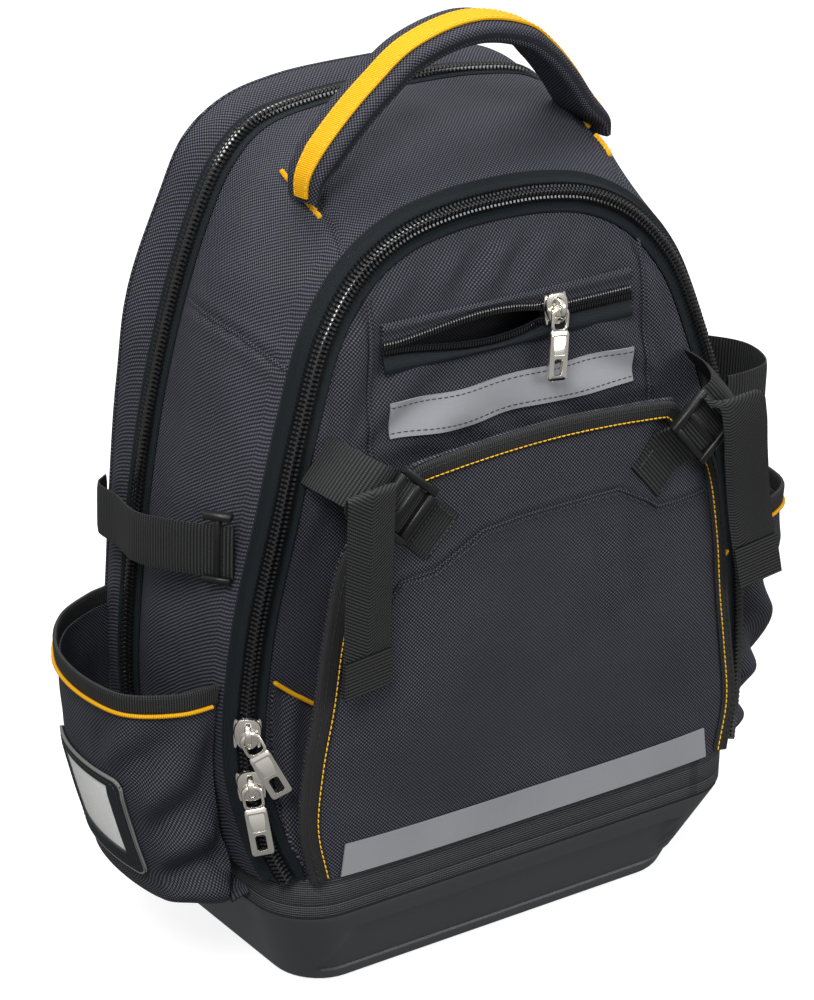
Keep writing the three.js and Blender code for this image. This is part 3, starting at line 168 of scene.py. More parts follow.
def lump(grid, size, seed, stretch=(1, 1, 1)):
    """Smooth seeded noise at each point of a grid, from -1 to 1."""
    flat = grid.reshape(-1, 3) * np.array(stretch) / size
    shift = Vector((seed * 7.31, seed * 3.17, seed * 5.77))
    values = [noise.noise(Vector(p) + shift) for p in flat]
    return np.array(values).reshape(grid.shape[:2])


def crease(grid, size, seed, stretch=(1, 1, 1)):
    """Long sharp folds in cloth, from -1 to 1."""
    return 1 - 2.4 * np.sqrt(lump(grid, size, seed, stretch) ** 2 + 0.002)


def ridge(distance, width):
    """A soft bump of height 1 and the given half width."""
    return np.exp(-((distance / width) ** 2))


def distance_to(points, line):
    """Distance of (..., 2) points from a polyline of 2-D points."""
    line = np.array(line, float)
    best = np.full(points.shape[:-1], 1e9)
    for a, b in zip(line[:-1], line[1:]):
        way = b - a
        t = np.clip(((points - a) @ way) / (way @ way), 0, 1)
        best = np.minimum(best, np.linalg.norm(points - a - t[..., None] * way, axis=-1))
    return best


# Meshes


def make(name, verts, faces, uvs, material, body="bag", replaces=(), smooth=True, slot=None):
    """A mesh object from millimetre points, with map coordinates in millimetres."""
    mesh = bpy.data.meshes.new(name)
    mesh.from_pydata((np.asarray(verts) * MM).tolist(), [], [tuple(map(int, f)) for f in faces])
    if uvs is not None:
        layer = mesh.uv_layers.new(name="cloth")
        index = np.empty(len(mesh.loops), dtype=np.int32)
        mesh.loops.foreach_get("vertex_index", index)
        layer.data.foreach_set("uv", (np.asarray(uvs) * MM)[index].astype(np.float32).ravel())
    mesh.polygons.foreach_set("use_smooth", [smooth] * len(mesh.polygons))
    mesh.materials.append(material)
    obj = bpy.data.objects.new(name, mesh)
    bpy.context.scene.collection.objects.link(obj)
    fix_normals(obj)
    if smooth:
        sharp_edges(obj)
    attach(obj, body)
    if replaces:
        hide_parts(*replaces)
    return obj


def fix_normals(obj):
    import bmesh

    work = bmesh.new()
    work.from_mesh(obj.data)
    bmesh.ops.recalc_face_normals(work, faces=work.faces)
    work.to_mesh(obj.data)
    work.free()


def sharp_edges(obj, angle=math.radians(50)):
    obj.data.set_sharp_from_angle(angle=angle)


def grid_uv(grid, centre=True):
    """Lengths along the columns and rows of a grid."""
    u = np.cumsum(np.linalg.norm(np.diff(grid, axis=1, prepend=grid[:, :1]), axis=2), axis=1)
    v = np.cumsum(np.linalg.norm(np.diff(grid, axis=0, prepend=grid[:1]), axis=2), axis=0)
    if centre:
        u = u - u[:, -1:] / 2
        v = v.mean(axis=1, keepdims=True) * np.ones_like(u)
    return np.stack([u, v], axis=2)


def sheet_data(grid, low, high, keep=None, uv=None):
    """Points, faces and map of a closed sheet between two offsets of a grid."""
    rows, columns = grid.shape[:2]
    n = normals_of(grid)
    lift = lambda h: grid + n * (h[..., None] if isinstance(h, np.ndarray) else h)
    verts = np.concatenate([lift(high).reshape(-1, 3), lift(low).reshape(-1, 3)])
    flat = (grid_uv(grid) if uv is None else uv).reshape(-1, 2)
    uvs = np.concatenate([flat, flat])
    under = rows * columns
    present = np.ones((rows - 1, columns - 1), bool) if keep is None else keep
    cell = lambda r, c: 0 <= r < rows - 1 and 0 <= c < columns - 1 and present[r, c]
    faces = []
    for r in range(rows - 1):
        for c in range(columns - 1):
            if not present[r, c]:
                continue
            a = r * columns + c
            b, e = a + 1, a + columns
            d = e + 1
            faces.append((a, b, d, e))
            faces.append((a + under, e + under, d + under, b + under))
            if not cell(r - 1, c):
                faces.append((b, a, a + under, b + under))
            if not cell(r, c + 1):
                faces.append((d, b, b + under, d + under))
            if not cell(r + 1, c):
                faces.append((e, d, d + under, e + under))
            if not cell(r, c - 1):
                faces.append((a, e, e + under, a + under))
    return tidy(verts, faces, uvs)


def tidy(verts, faces, uvs):
    """Drops the points that no face uses."""
    used = np.zeros(len(verts), bool)
    for face in faces:
        used[list(face)] = True
    number = np.cumsum(used) - 1
    return verts[used], [tuple(number[list(f)]) for f in faces], uvs[used]


def sheet(name, grid, low, high, material, replaces=(), keep=None, uv=None, **more):
    verts, faces, uvs = sheet_data(grid, low, high, keep, uv)
    return make(name, verts, faces, uvs, material, replaces=replaces, **more)


def ring_data(rings, closed=False, uv_scale=1.0):
    """Points, faces and map of a solid through rings of points."""
    rings = np.asarray(rings, float)
    steps, count = rings.shape[:2]
    verts = rings.reshape(-1, 3)
    middle = rings.mean(axis=1)
    along = np.concatenate([[0], np.cumsum(np.linalg.norm(np.diff(middle, axis=0), axis=1))])
    around = np.linalg.norm(rings - np.roll(rings, 1, axis=1), axis=2)
    u = np.cumsum(around, axis=1) * uv_scale
    v = along[:, None] * np.ones_like(u)
    uvs = np.stack([u, v], axis=2).reshape(-1, 2)
    faces = []
    for r in range(steps if closed else steps - 1):
        s = (r + 1) % steps
        for i in range(count):
            j = (i + 1) % count
            faces.append((r * count + i, r * count + j, s * count + j, s * count + i))
    if not closed:
        faces.append(tuple(range(count))[::-1])
        faces.append(tuple((steps - 1) * count + i for i in range(count)))
    return verts, faces, uvs


def tube_rings(path, up, half_width, half_height, sides, power=1.0):
    """Oval rings along a path; a power under 1 squares them off."""
    along = tangents(path)
    across = unit(np.cross(along, up))
    lift = np.cross(across, along)
    turn = 2 * np.pi * (np.arange(sides) + 0.5) / sides
    squared = lambda x: np.sign(x) * np.abs(x) ** power
    wide = squared(np.cos(turn)) * np.broadcast_to(half_width, len(path))[:, None]
    high = squared(np.sin(turn)) * np.broadcast_to(half_height, len(path))[:, None]
    return path[:, None] + across[:, None] * wide[..., None] + lift[:, None] * high[..., None]


def tube(name, path, up, half_width, half_height, sides, material, power=1.0, **more):
    rings = tube_rings(path, up, half_width, half_height, sides, power)
    return make(name, *ring_data(rings), material, **more)


def strap_grid(path, across, width, rows=7):
    """A webbing strap's middle surface; across gives its sideways direction."""
    share = np.linspace(-0.5, 0.5, rows)
    grid = path[None] + share[:, None, None] * width * across[None]
    return grid


def strap(name, path, across, material, width=WEBBING_WIDTH, wall=WEBBING_WALL, rows=9, **more):
    """A webbing strap with slightly rounded edges; its ribs run across it."""
    grid = strap_grid(path, across, width, rows)
    share = np.abs(np.linspace(-1, 1, rows))[:, None] * np.ones(len(path))
    half = wall / 2 * (1 - 0.55 * share**8)
    uv = grid_uv(grid, centre=False)[..., ::-1]
    return sheet(name, grid, -half, half, material, uv=uv, **more)


def merge(parts):
    """One mesh's data from several."""
    verts, faces, uvs, start = [], [], [], 0
    for v, f, uv in parts:
        verts.append(v)
        uvs.append(uv)
        faces.extend(tuple(i + start for i in face) for face in f)
        start += len(v)
    return np.concatenate(verts), faces, np.concatenate(uvs)


# Materials


def material(name, slot):
    made = bpy.data.materials.new(name)
    made.use_nodes = True
    nodes = made.node_tree.nodes
    links = made.node_tree.links
    shader = nodes["Principled BSDF"]
    return made, nodes, links, shader


class Graph:
    """Short calls that add and join nodes."""

    def __init__(self, nodes, links):
        self.nodes = nodes
        self.links = links

    def put(self, kind, inputs, **settings):
        node = self.nodes.new(kind)
        for key, value in settings.items():
            setattr(node, key, value)
        for key, value in inputs.items():
            if isinstance(value, bpy.types.NodeSocket):
                self.links.new(value, node.inputs[key])
            else:
                node.inputs[key].default_value = value
        return node

    def math(self, operation, a, b=0.0, c=0.0):
        return self.put("ShaderNodeMath", {0: a, 1: b, 2: c}, operation=operation).outputs[0]

    def blend(self, factor, low, high):
        node = self.put("ShaderNodeMix", {}, data_type="RGBA")
        self.links.new(factor, node.inputs[0])
        node.inputs[6].default_value = (*low, 1)
        node.inputs[7].default_value = (*high, 1)
        return node.outputs[2]

    def noise(self, vector, scale, detail=2.0):
        node = self.put("ShaderNodeTexNoise", {"Scale": scale, "Detail": detail})
        if vector is not None:
            self.links.new(vector, node.inputs["Vector"])
        return node.outputs["Fac"]

    def map_uv(self):
        node = self.put("ShaderNodeUVMap", {}, uv_map="cloth")
        parts = self.put("ShaderNodeSeparateXYZ", {0: node.outputs[0]})
        return node.outputs[0], parts.outputs[0], parts.outputs[1]

    def wave(self, value, pitch):
        """A sine of the given pitch in metres."""
        return self.math("SINE", self.math("MULTIPLY", value, 2 * math.pi / pitch))


def finish_surface(g, shader, height, distance, colour, roughness, **constants):
    bump = g.put("ShaderNodeBump", {"Height": height, "Distance": distance, "Strength": 1.0})
    g.links.new(bump.outputs[0], shader.inputs["Normal"])
    g.links.new(colour, shader.inputs["Base Color"])
    g.links.new(roughness, shader.inputs["Roughness"])
    for key, value in constants.items():
        shader.inputs[key.replace("_", " ")].default_value = value


def woven(name, slot, dark, light, pitch=1.85 * MM, depth=0.35 * MM, gloss=0.6):
    """Coarse ballistic cloth: raised threads in a checker of light dots with dark gaps. The colour follows the
    threads' height: a painted highlight on the dots and painted shade in the gaps.
    """
    made, nodes, links, shader = material(name, slot)
    g = Graph(nodes, links)
    place, u, v = g.map_uv()
    cells = g.math("MULTIPLY", g.wave(u, pitch), g.wave(v, pitch))
    raised = g.math("MULTIPLY_ADD", cells, 0.5, 0.5)
    wear = g.noise(place, 14.0, 3.0)
    grain = g.noise(place, 1400.0, 2.0)
    # painted shade and highlight: the colour darkens into the gaps between threads and brightens on their tops
    shade = g.math("POWER", raised, 2.6)
    shade = g.math("MULTIPLY", shade, g.math("MULTIPLY_ADD", grain, 1.2, 0.35))
    shade = g.math("MULTIPLY", shade, g.math("MULTIPLY_ADD", wear, 0.7, 0.65))
    colour = g.blend(shade, dark, light)
    rough = g.math("MULTIPLY_ADD", grain, 0.25, gloss - 0.12)
    finish_surface(g, shader, raised, depth, colour, rough, Specular_IOR_Level=0.16)
    return made


def ribbed(name, slot, dark, light, pitch=1.15 * MM, depth=0.3 * MM, gloss=0.62, fine=1.0 * MM):
    """Webbing or tape with ribs across it, each rib a row of small threads. The colour follows the ribs'
    height: painted shade between the ribs and a painted highlight on their crests.
    """
    made, nodes, links, shader = material(name, slot)
    g = Graph(nodes, links)
    place, u, v = g.map_uv()
    rib = g.math("ABSOLUTE", g.wave(v, pitch * 2))
    warp = g.math("MULTIPLY_ADD", g.wave(u, fine), 0.5, 0.5)
    height = g.math("MULTIPLY_ADD", g.math("MULTIPLY", rib, warp), 0.3, rib)
    grain = g.noise(place, 1400.0, 2.0)
    wear = g.noise(place, 20.0, 2.0)
    # painted shade and highlight: darker between the ribs and threads, lighter on their crests
    shade = g.math("MULTIPLY", g.math("POWER", rib, 1.5), g.math("MULTIPLY_ADD", warp, 0.5, 0.5))
    shade = g.math("MULTIPLY", shade, g.math("MULTIPLY_ADD", grain, 1.0, 0.45))
    shade = g.math("MULTIPLY", shade, g.math("MULTIPLY_ADD", wear, 0.6, 0.7))
    colour = g.blend(shade, dark, light)
    rough = g.math("MULTIPLY_ADD", grain, 0.2, gloss - 0.1)
    finish_surface(g, shader, height, depth, colour, rough, Specular_IOR_Level=0.2)
    return made


def moulded(name, slot, colour, gloss, grain_size=1600.0, depth=0.05 * MM, spread=0.25, **more):
    """Moulded plastic or coated tape with a fine grain and slight handling marks."""
    made, nodes, links, shader = material(name, slot)
    g = Graph(nodes, links)
    place = g.put("ShaderNodeTexCoord", {}).outputs["Object"]
    grain = g.noise(place, grain_size, 3.0)
    marks = g.noise(place, 25.0, 4.0)
    low = tuple(c * (1 - spread) for c in colour)
    high = tuple(min(1, c * (1 + spread)) for c in colour)
    tint = g.blend(g.math("MULTIPLY_ADD", marks, 0.6, g.math("MULTIPLY", grain, 0.4)), low, high)
    rough = g.math("MULTIPLY_ADD", marks, 0.16, gloss - 0.08)
    finish_surface(g, shader, grain, depth, tint, rough, **more)
    return made


# The first colour of each woven and ribbed material is painted shade for the gaps between threads and ribs;
# the second is their tops' colour with a painted highlight.
GAP_SHADE = (0.0035, 0.0036, 0.0048)
CHARCOAL = (0.125, 0.128, 0.165)
cloth = woven("ballistic_cloth", "cloth", GAP_SHADE, CHARCOAL)
# A darker copy of the ballistic cloth: painted shade for the flap's pleats and the zip pocket's lining, which
# sit in shade.
shaded_cloth = woven("shaded_inner_cloth", "cloth", GAP_SHADE, (0.034, 0.033, 0.04))
back_mesh = woven("back_mesh", "cloth", (0.003, 0.003, 0.004), (0.05, 0.05, 0.053), 3.2 * MM, 0.5 * MM)
webbing = ribbed("rib_webbing", "webbing", (0.003, 0.003, 0.003), (0.044, 0.045, 0.046), 1.75 * MM)
binding = ribbed("edge_binding", "webbing", (0.003, 0.003, 0.0035), (0.046, 0.046, 0.047))
band_cloth = ribbed("band_webbing", "webbing", (0.006, 0.006, 0.007), (0.085, 0.088, 0.094))
tape = ribbed("zip_tape_cloth", "zip_tape", (0.004, 0.006, 0.0075), (0.02, 0.027, 0.032), 0.6 * MM)
teeth = moulded("zip_teeth", "zip_coil", (0.006, 0.006, 0.007), 0.2, Specular_IOR_Level=0.8)
plastic = moulded("moulded_plastic", "black_plastic", (0.006, 0.006, 0.0065), 0.38, Specular_IOR_Level=0.35)
tray = moulded("tray_plastic", "tray", (0.042, 0.046, 0.05), 0.46, 900.0, 0.09 * MM, Specular_IOR_Level=0.3)
chrome = moulded(
    "polished_metal", "metal", (0.86, 0.82, 0.75), 0.16, 300.0, 0.02 * MM, 0.1, Metallic=1.0
)
yellow_tape = ribbed(
    "yellow_webbing", "yellow", (0.58, 0.25, 0.002), (0.83, 0.46, 0.005), 0.9 * MM, 0.16 * MM
)
yellow_thread = moulded("yellow_thread", "yellow", (0.86, 0.46, 0.012), 0.6, 2500.0, 0.05 * MM)
grey_tape = moulded(
    "reflective_coating", "reflective", (0.235, 0.242, 0.258), 0.5, 2200.0, Specular_IOR_Level=0.25
)
card = moulded("card_stock", "card", (0.88, 0.87, 0.85), 0.7, 800.0, 0.01 * MM, 0.03)
black_thread = moulded("black_thread", "webbing", (0.012, 0.012, 0.014), 0.5, 2500.0)
frame_edge = moulded("frame_edging", "webbing", (0.16, 0.16, 0.155), 0.55, 2000.0)


def clear_sheet():
    made, nodes, links, shader = material("clear_window", "window")
    g = Graph(nodes, links)
    place = g.put("ShaderNodeTexCoord", {}).outputs["Object"]
    waves = g.noise(place, 60.0, 2.0)
    colour = g.blend(waves, (0.86, 0.88, 0.89), (0.93, 0.94, 0.95))
    rough = g.math("MULTIPLY_ADD", waves, 0.1, 0.1)
    finish_surface(g, shader, waves, 0.3 * MM, colour, rough, Alpha=0.16)
    return made


window = clear_sheet()


# The bag's lines and shell


def lean_at(rise):
    return column(ARCH, "rise", "lean", np.clip(rise, 0, 1))


def line_half(name, z):
    half, top = LINES[name]
    rise = np.clip((z - BODY_BASE) / (top - BODY_BASE), 0, 1)
    return half * column(ARCH, "rise", name, rise)


def arch_line(name, steps):
    half, top = LINES[name]
    rise = np.array(ARCH["rise"])
    share = np.array(ARCH[name])
    depth = {
        "front": -RIM[1] * np.array(ARCH["lean"]),
        "main": np.full(len(rise), ZIP_DEPTH),
        "back": np.full(len(rise), BACK_DEPTH),
    }[name]
    z = BODY_BASE + (top - BODY_BASE) * rise
    left = np.stack([-share * half, depth, z], axis=1)
    right = (left * [-1, 1, 1])[::-1][1:]
    return spaced(curve(np.vstack([left, right]), 2400), steps)


def shifted(line, out, back):
    before = np.vstack([line[:1], line[:-1]])
    after = np.vstack([line[1:], line[-1:]])
    outward = np.stack(
        [before[:, 2] - after[:, 2], np.zeros(len(line)), after[:, 0] - before[:, 0]], axis=1
    )
    moved = line + unit(outward) * out
    moved[:, 1] += back
    moved[0, 2] = BODY_BASE
    moved[-1, 2] = BODY_BASE
    return moved


STEPS = 300
FRONT = arch_line("front", STEPS)
MAIN = arch_line("main", STEPS)
BACK = arch_line("back", STEPS)


def between(share, out, back):
    return shifted(FRONT + (MAIN - FRONT) * share, out, back)


def across_rows(rows, steps):
    """A smooth surface through a few lines, with more rows between them."""
    stack = np.array(rows)
    return np.stack([curve(stack[:, c], steps) for c in range(stack.shape[1])], axis=1)


def panel_face(x, z):
    rise = (z - BODY_BASE) / (LINES["front"][1] - BODY_BASE)
    half = np.maximum(line_half("front", z), 1)
    middle = np.maximum(0, 1 - (x / half) ** 2)
    return -RIM[1] * lean_at(rise) - 2 - 2 * middle


def on_panel(x, z):
    x, z = np.broadcast_arrays(np.asarray(x, float), np.asarray(z, float))
    return np.stack([x, panel_face(x, z), z], axis=-1)


def flap_half(z):
    return FLAP_HALF * column(FLAP, "rise", "half", (z - BODY_BASE) / (FLAP_TOP - BODY_BASE))


def flap_folds(x, z):
    """Soft upright folds of the flap, below its reinforcing seam."""
    folds = 0.9 * np.sin(2 * np.pi * (x + 0.1 * z) / 19.0) * ridge(x - 44, 24) * ridge(z - 190, 30)
    broad = 1.3 * np.sin((x - 0.2 * z) / 15.0) * ridge(x + 50, 45) * ridge(z - 170, 60)
    low = 1.0 * np.sin((x + 0.6 * z) / 14.0) * ridge(z - 115, 35)
    side = np.clip((flap_half(np.minimum(z, FLAP_TOP)) - 12 - np.abs(x)) / 20, 0, 1)
    return (folds + broad + low) * side * np.clip((z - 92) / 12, 0, 1)


def flap_face(x, z):
    x, z = np.broadcast_arrays(np.asarray(x, float), np.asarray(z, float))
    level = np.minimum(z, FLAP_TOP)
    rise = np.clip((level - BODY_BASE) / (FLAP_TOP - BODY_BASE), 0, 1)
    share = np.minimum(1, np.abs(x) / flap_half(level))
    wrap = FLAP_WRAP * column(FLAP, "rise", "wrap", rise)
    face = -FLAP_REACH * column(FLAP, "rise", "proud", rise) + wrap * share**4
    return face - flap_folds(x, z)


def on_flap(x, z):
    x, z = np.broadcast_arrays(np.asarray(x, float), np.asarray(z, float))
    return np.stack([x, flap_face(x, z), z], axis=-1)


def bag_side(height, depth):
    z = np.maximum(height, BODY_BASE)
    rise = (z - BODY_BASE) / (LINES["front"][1] - BODY_BASE)
    front_edge = -RIM[1] * lean_at(rise) + TAPE_OUTER
    rear_edge = ZIP_DEPTH - TAPE_INNER
    front = line_half("front", z) + TAPE_OUTER
    main = line_half("main", z)
    behind = np.clip((depth - rear_edge) / (BACK_DEPTH - rear_edge), 0, 1)
    share = np.clip((depth - front_edge) / (rear_edge - front_edge), 0, 1)
    rear = main + (line_half("back", z) - main) * behind + 1 + SEAM_ROOM
    side = front + (main - front) * share + CROWN * np.sin(np.pi * share) + SEAM_ROOM
    return np.where(depth > rear_edge, rear, side)


# Base tray and band


def rounded_ring(half_x, half_y, radius, z, corner=10, side_x=40, side_y=22):
    centres = [(1, -1, -0.5), (1, 1, 0.0), (-1, 1, 0.5), (-1, -1, 1.0)]
    points = []
    for k, (sx, sy, start) in enumerate(centres):
        cx = sx * (half_x - radius)
        cy = sy * (half_y - radius)
        turn = np.pi * (start + 0.5 * np.arange(corner + 1) / corner)
        arc = np.stack([cx + radius * np.cos(turn), cy + radius * np.sin(turn)], axis=1)
        points.append(arc)
        nx, ny, following = centres[(k + 1) % 4]
        turn = np.pi * following
        target = np.array(
            [
                nx * (half_x - radius) + radius * np.cos(turn),
                ny * (half_y - radius) + radius * np.sin(turn),
            ]
        )
        steps = side_y if k % 2 == 0 else side_x
        share = (np.arange(1, steps) / steps)[:, None]
        points.append(arc[-1] + (target - arc[-1]) * share)
    ring = np.vstack(points)
    return np.column_stack([ring, np.full(len(ring), z)])


def sized_ring(z, inset=0.0):
    share = z / TRAY_HEIGHT
    size = [f + (r - f) * share - inset for f, r in zip(FOOT, RIM)]
    return rounded_ring(*size, z)


def sink_panel(ring):
    """The sunk panel on the tray's front wall, with slanted ends."""
    z = ring[:, 2]
    half = 96 + (37 - z) * 0.35
    edge = np.clip((half - np.abs(ring[:, 0])) / 1.6, 0, 1)
    inside = edge * np.clip((z - 6) / 2, 0, 1) * np.clip((37 - z) / 1.6 + 0.5, 0, 1)
    ring[:, 1] += np.where(ring[:, 1] < 0, 2.2 * inside, 0)
    return ring


TRAY_ROUND = 3.5


def base_tray():
    rings = []
    for share in np.linspace(0, 1, 6):
        turn = share * np.pi / 2
        rings.append(sized_ring(TRAY_ROUND * (1 - np.cos(turn)), TRAY_ROUND * (1 - np.sin(turn))))
    for z in (7, 8, 12, 18, 24, 30, 34, 35.6, 36.4, 37.2, 38, 42, 46, 49):
        rings.append(sized_ring(z))
    rings.append(sized_ring(49.7, 0.3))
    lip = lambda z, inset: rounded_ring(RIM[0] - inset, RIM[1] - inset, RIM[2] - inset, z)
    rings.append(lip(49.7, 2.9))
    rings.append(lip(66, 2.9))
    rings.append(lip(66, 5.9))
    rings.append(sized_ring(47, 5.9))
    rings.append(sized_ring(3, 12))
    rings = [sink_panel(r) for r in rings]
    shell = make("base_tray_shell", *ring_data(rings), tray, replaces=["base_tray"])
    sharp_edges(shell, math.radians(24))


def band_profile():
    """The band's section: (inset, height) pairs round it, with a rolled top edge."""
    return [
        (0.6, 50.2),
        (0.0, 51.0),
        (0.0, 56.0),
        (0.7, 57.0),
        (0.0, 58.0),
        (0.1, 66.0),
        (0.9, 67.2),
        (0.2, 68.4),
        (0.3, 70.3),
        (1.2, 71.0),
        (2.4, 70.6),
        (2.6, 60.0),
        (2.6, 50.2),
    ]


def base_band():
    rings = []
    for inset, z in band_profile():
        ring = rounded_ring(RIM[0] - inset, RIM[1] - inset, RIM[2] - inset, z)
        wavy = 0.35 * np.sin(ring[:, 0] / 21.0 + ring[:, 1] / 17.0)
        ring[:, 2] += wavy * np.clip((z - 55) / 10, 0, 1)
        rings.append(ring)
    rings = np.array(rings)
    steps, count = rings.shape[:2]
    verts = rings.reshape(-1, 3)
    around = np.cumsum(np.linalg.norm(rings[0] - np.roll(rings[0], 1, axis=0), axis=1))
    heights = np.cumsum([0] + [math.dist(a, b) for a, b in zip(band_profile(), band_profile()[1:])])
    uvs = np.stack(np.meshgrid(around, heights), axis=2).reshape(-1, 2)
    faces = []
    for r in range(steps):
        s = (r + 1) % steps
        for i in range(count):
            j = (i + 1) % count
            faces.append((r * count + i, r * count + j, s * count + j, s * count + i))
    make("base_band_webbing", verts, faces, uvs, band_cloth, replaces=["base_band"])


# The shell: gussets, zip tapes and teeth

# Seams over the gusset as places (share along the arch, share across it)
GUSSET_SEAMS = [
    [(0.405, 0.42), (0.403, 0.28), (0.399, 0.12), (0.393, -0.02)],
    [(0.595, 0.5), (0.599, 0.28), (0.603, 0.12), (0.607, -0.02)],
    [(0.303, 0.96), (0.312, 0.6), (0.318, 0.3), (0.323, 0.0)],
    [(0.697, 0.96), (0.688, 0.6), (0.682, 0.3), (0.677, 0.0)],
]


def gusset_relief(grid):
    rows, columns = grid.shape[:2]
    along = np.linspace(0, 1, columns)[None] * np.ones((rows, 1))
    across = np.linspace(0, 1, rows)[:, None] * np.ones((1, columns))
    span = np.array([950.0, 90.0])
    places = np.stack([along, across], axis=2) * span
    relief = 1.6 * lump(grid, 42, 1, (1, 1, 1.2)) + 0.8 * lump(grid, 19, 2)
    relief = relief + 1.3 * crease(grid, 75, 4, (1, 1, 0.7))
    for k, seam in enumerate(GUSSET_SEAMS):
        gap = distance_to(places, np.array(seam) * span)
        depth = 1.5 if k < 2 else 1.0
        relief = relief - depth * ridge(gap, 2.2) + 0.8 * ridge(gap - 5, 4)
    edge = np.minimum(across, 1 - across)
    return relief * np.clip(edge / 0.08, 0, 1)


def shell_pieces():
    rows = [
        between(0, TAPE_OUTER, TAPE_OUTER),
        between(0.36, CROWN, 3),
        between(0.66, CROWN * 0.85, -2),
        between(1, 0, -TAPE_INNER),
    ]
    grid = across_rows(rows, 36)
    grid = grid + normals_of(grid) * gusset_relief(grid)[..., None]
    grid[:, [0, -1], 2] = BODY_BASE + 0.1
    sheet("main_gusset_cloth", grid, -CLOTH, 0, cloth, ["main_gusset"])
    gusset_seams(grid)
    handle_tacks(grid)
    rear = across_rows([between(1, 0.3, TAPE_INNER), shifted(BACK, -0.2, 0)], 12)
    swell = np.sin(np.linspace(0, np.pi, 13))[:, None]
    relief = 1.2 * swell + 0.8 * swell * lump(rear, 30, 3)
    rear = rear + normals_of(rear) * relief[..., None]
    rear[:, [0, -1], 2] = BODY_BASE + 0.1
    sheet("rear_gusset_cloth", rear, -CLOTH, 0, cloth, ["rear_gusset"])


def welt(name, line, normals, half=1.2, height=0.55):
    """A lapped seam that stands a little proud of the cloth."""
    return tube(name, line, normals, half, height, 10, cloth)


def gusset_seams(grid):
    normals = normals_of(grid)
    rows, columns = grid.shape[:2]
    for k, seam in enumerate(GUSSET_SEAMS):
        points = np.array([(a, 0, c) for a, c in seam])
        path = curve(points, 60)
        at_c = np.clip(path[:, 0], 0, 1) * (columns - 1)
        at_r = np.clip(path[:, 2], 0, 1) * (rows - 1)
        line = surface_at(grid, at_r, at_c)
        out = unit(surface_at(normals, at_r, at_c))
        welt(f"gusset_seam_{k + 1}", line, out)
        way = np.cross(out, tangents(line))
        stitches(f"gusset_seam_stitches_{k + 1}", line + way * 3.2, out, black_thread, 2.8, 2.2, 0.24)


# The left foot's yellow bar tacks, as their ends; the right foot has the same ones
TACK_SHIFT = 4.0
TACKS = {
    "rear": ((-88.0, 4.9, 387.6), (-86.0, -4.3, 379.7)),
    "front": ((-84.0, -8.6, 376.9), (-82.0, -22.4, 370.0)),
}


def handle_tacks(grid):
    """Bar tacks that hold the handle's feet down on the gusset."""
    normals = normals_of(grid).reshape(-1, 3)
    flat = grid.reshape(-1, 3)
    for which, side in SIDE.items():
        for place, ends in TACKS.items():
            start, end = np.array(ends) * [-side, 1, 1] + [max(side, 0) * TACK_SHIFT, 0, 0]
            line = []
            out = []
            for share in np.linspace(0, 1, 24):
                spot = start + (end - start) * share
                near = np.argsort(np.linalg.norm(flat - spot, axis=1))[:4]
                normal = unit(normals[near].mean(axis=0))
                line.append(spot - normal * ((spot - flat[near].mean(axis=0)) @ normal))
                out.append(normal)
            stitches(f"{which}_{place}_tack", np.array(line), np.array(out), yellow_thread,
                     0.8, 0.8, 1.35, 0.3)


def surface_at(grid, rows, columns):
    """Points of a grid at fractional rows and columns."""
    r = np.minimum(rows.astype(int), grid.shape[0] - 2)
    c = np.minimum(columns.astype(int), grid.shape[1] - 2)
    s = (rows - r)[:, None]
    t = (columns - c)[:, None]
    low = grid[r, c] * (1 - t) + grid[r, c + 1] * t
    high = grid[r + 1, c] * (1 - t) + grid[r + 1, c + 1] * t
    return low * (1 - s) + high * s


def tape_section(inner, middle, outer):
    """A zip tape's rows between its inner, middle and outer lines; zip_tapes adds the folded edges that stand
    a little proud.
    """
    return across_rows([inner, middle, outer], 24)


def zip_tapes():
    front = tape_section(
        between(0, -TAPE_INNER, -2), between(0, 0, 0), between(0, TAPE_OUTER, TAPE_OUTER)
    )
    main = tape_section(
        between(1, 0, -TAPE_INNER), between(1, 0.6, 0), between(1, 0.3, TAPE_INNER)
    )
    share = np.abs(np.linspace(-1, 1, 25))[:, None]
    for name, grid, node in (
        ("front_zip_tape_cloth", front, "front_zip_tape"),
        ("main_zip_tape_cloth", main, "main_zip_tape"),
    ):
        fold = 1.1 * ridge(share - 0.9, 0.09) - 0.35 * ridge(share - 0.66, 0.05)
        grid = grid + normals_of(grid) * (fold * np.ones(grid.shape[1]))[..., None]
        grid[:, [0, -1], 2] = BODY_BASE + 0.1
        uv = grid_uv(grid)
        sheet(name, grid, -TRIM, 0, tape, [node], uv=uv)


def tooth_row(line, normals, pitch, reach, height, thick):
    """Two rows of interlocked teeth along a line."""
    path = spaced(line, 4000)
    total = length(path)
    count = int(total / pitch)
    at = (np.arange(count) + 0.5) / count
    pick = lambda values: np.stack(
        [np.interp(at, np.linspace(0, 1, len(values)), values[:, k]) for k in range(3)], axis=1
    )
    place = pick(path)
    out = unit(pick(normals))
    along = unit(pick(tangents(path)))
    across = unit(np.cross(out, along))
    parts = []
    profile = [(-0.9, 0.7), (0.1, 1.0), (1.2, 0.92), (2.0, 0.42), (3.1, 0.4), (3.8, 0.72), (reach, 0.15)]
    for side, shift in ((1, 0.0), (-1, 0.5)):
        start = place + along * (shift * pitch)
        for p, o, t, s in zip(start, out, along, across):
            rings = []
            for x, h in profile:
                half = thick * (0.5 if x > 0 else 0.36)
                top = p + s * side * x + o * (height * h)
                low = p + s * side * x + o * max(height * h - 1.5, 0.25)
                rings.append([top - t * half * 0.7, top + t * half * 0.7, low + t * half, low - t * half])
            parts.append(ring_data(rings))
    return merge(parts)


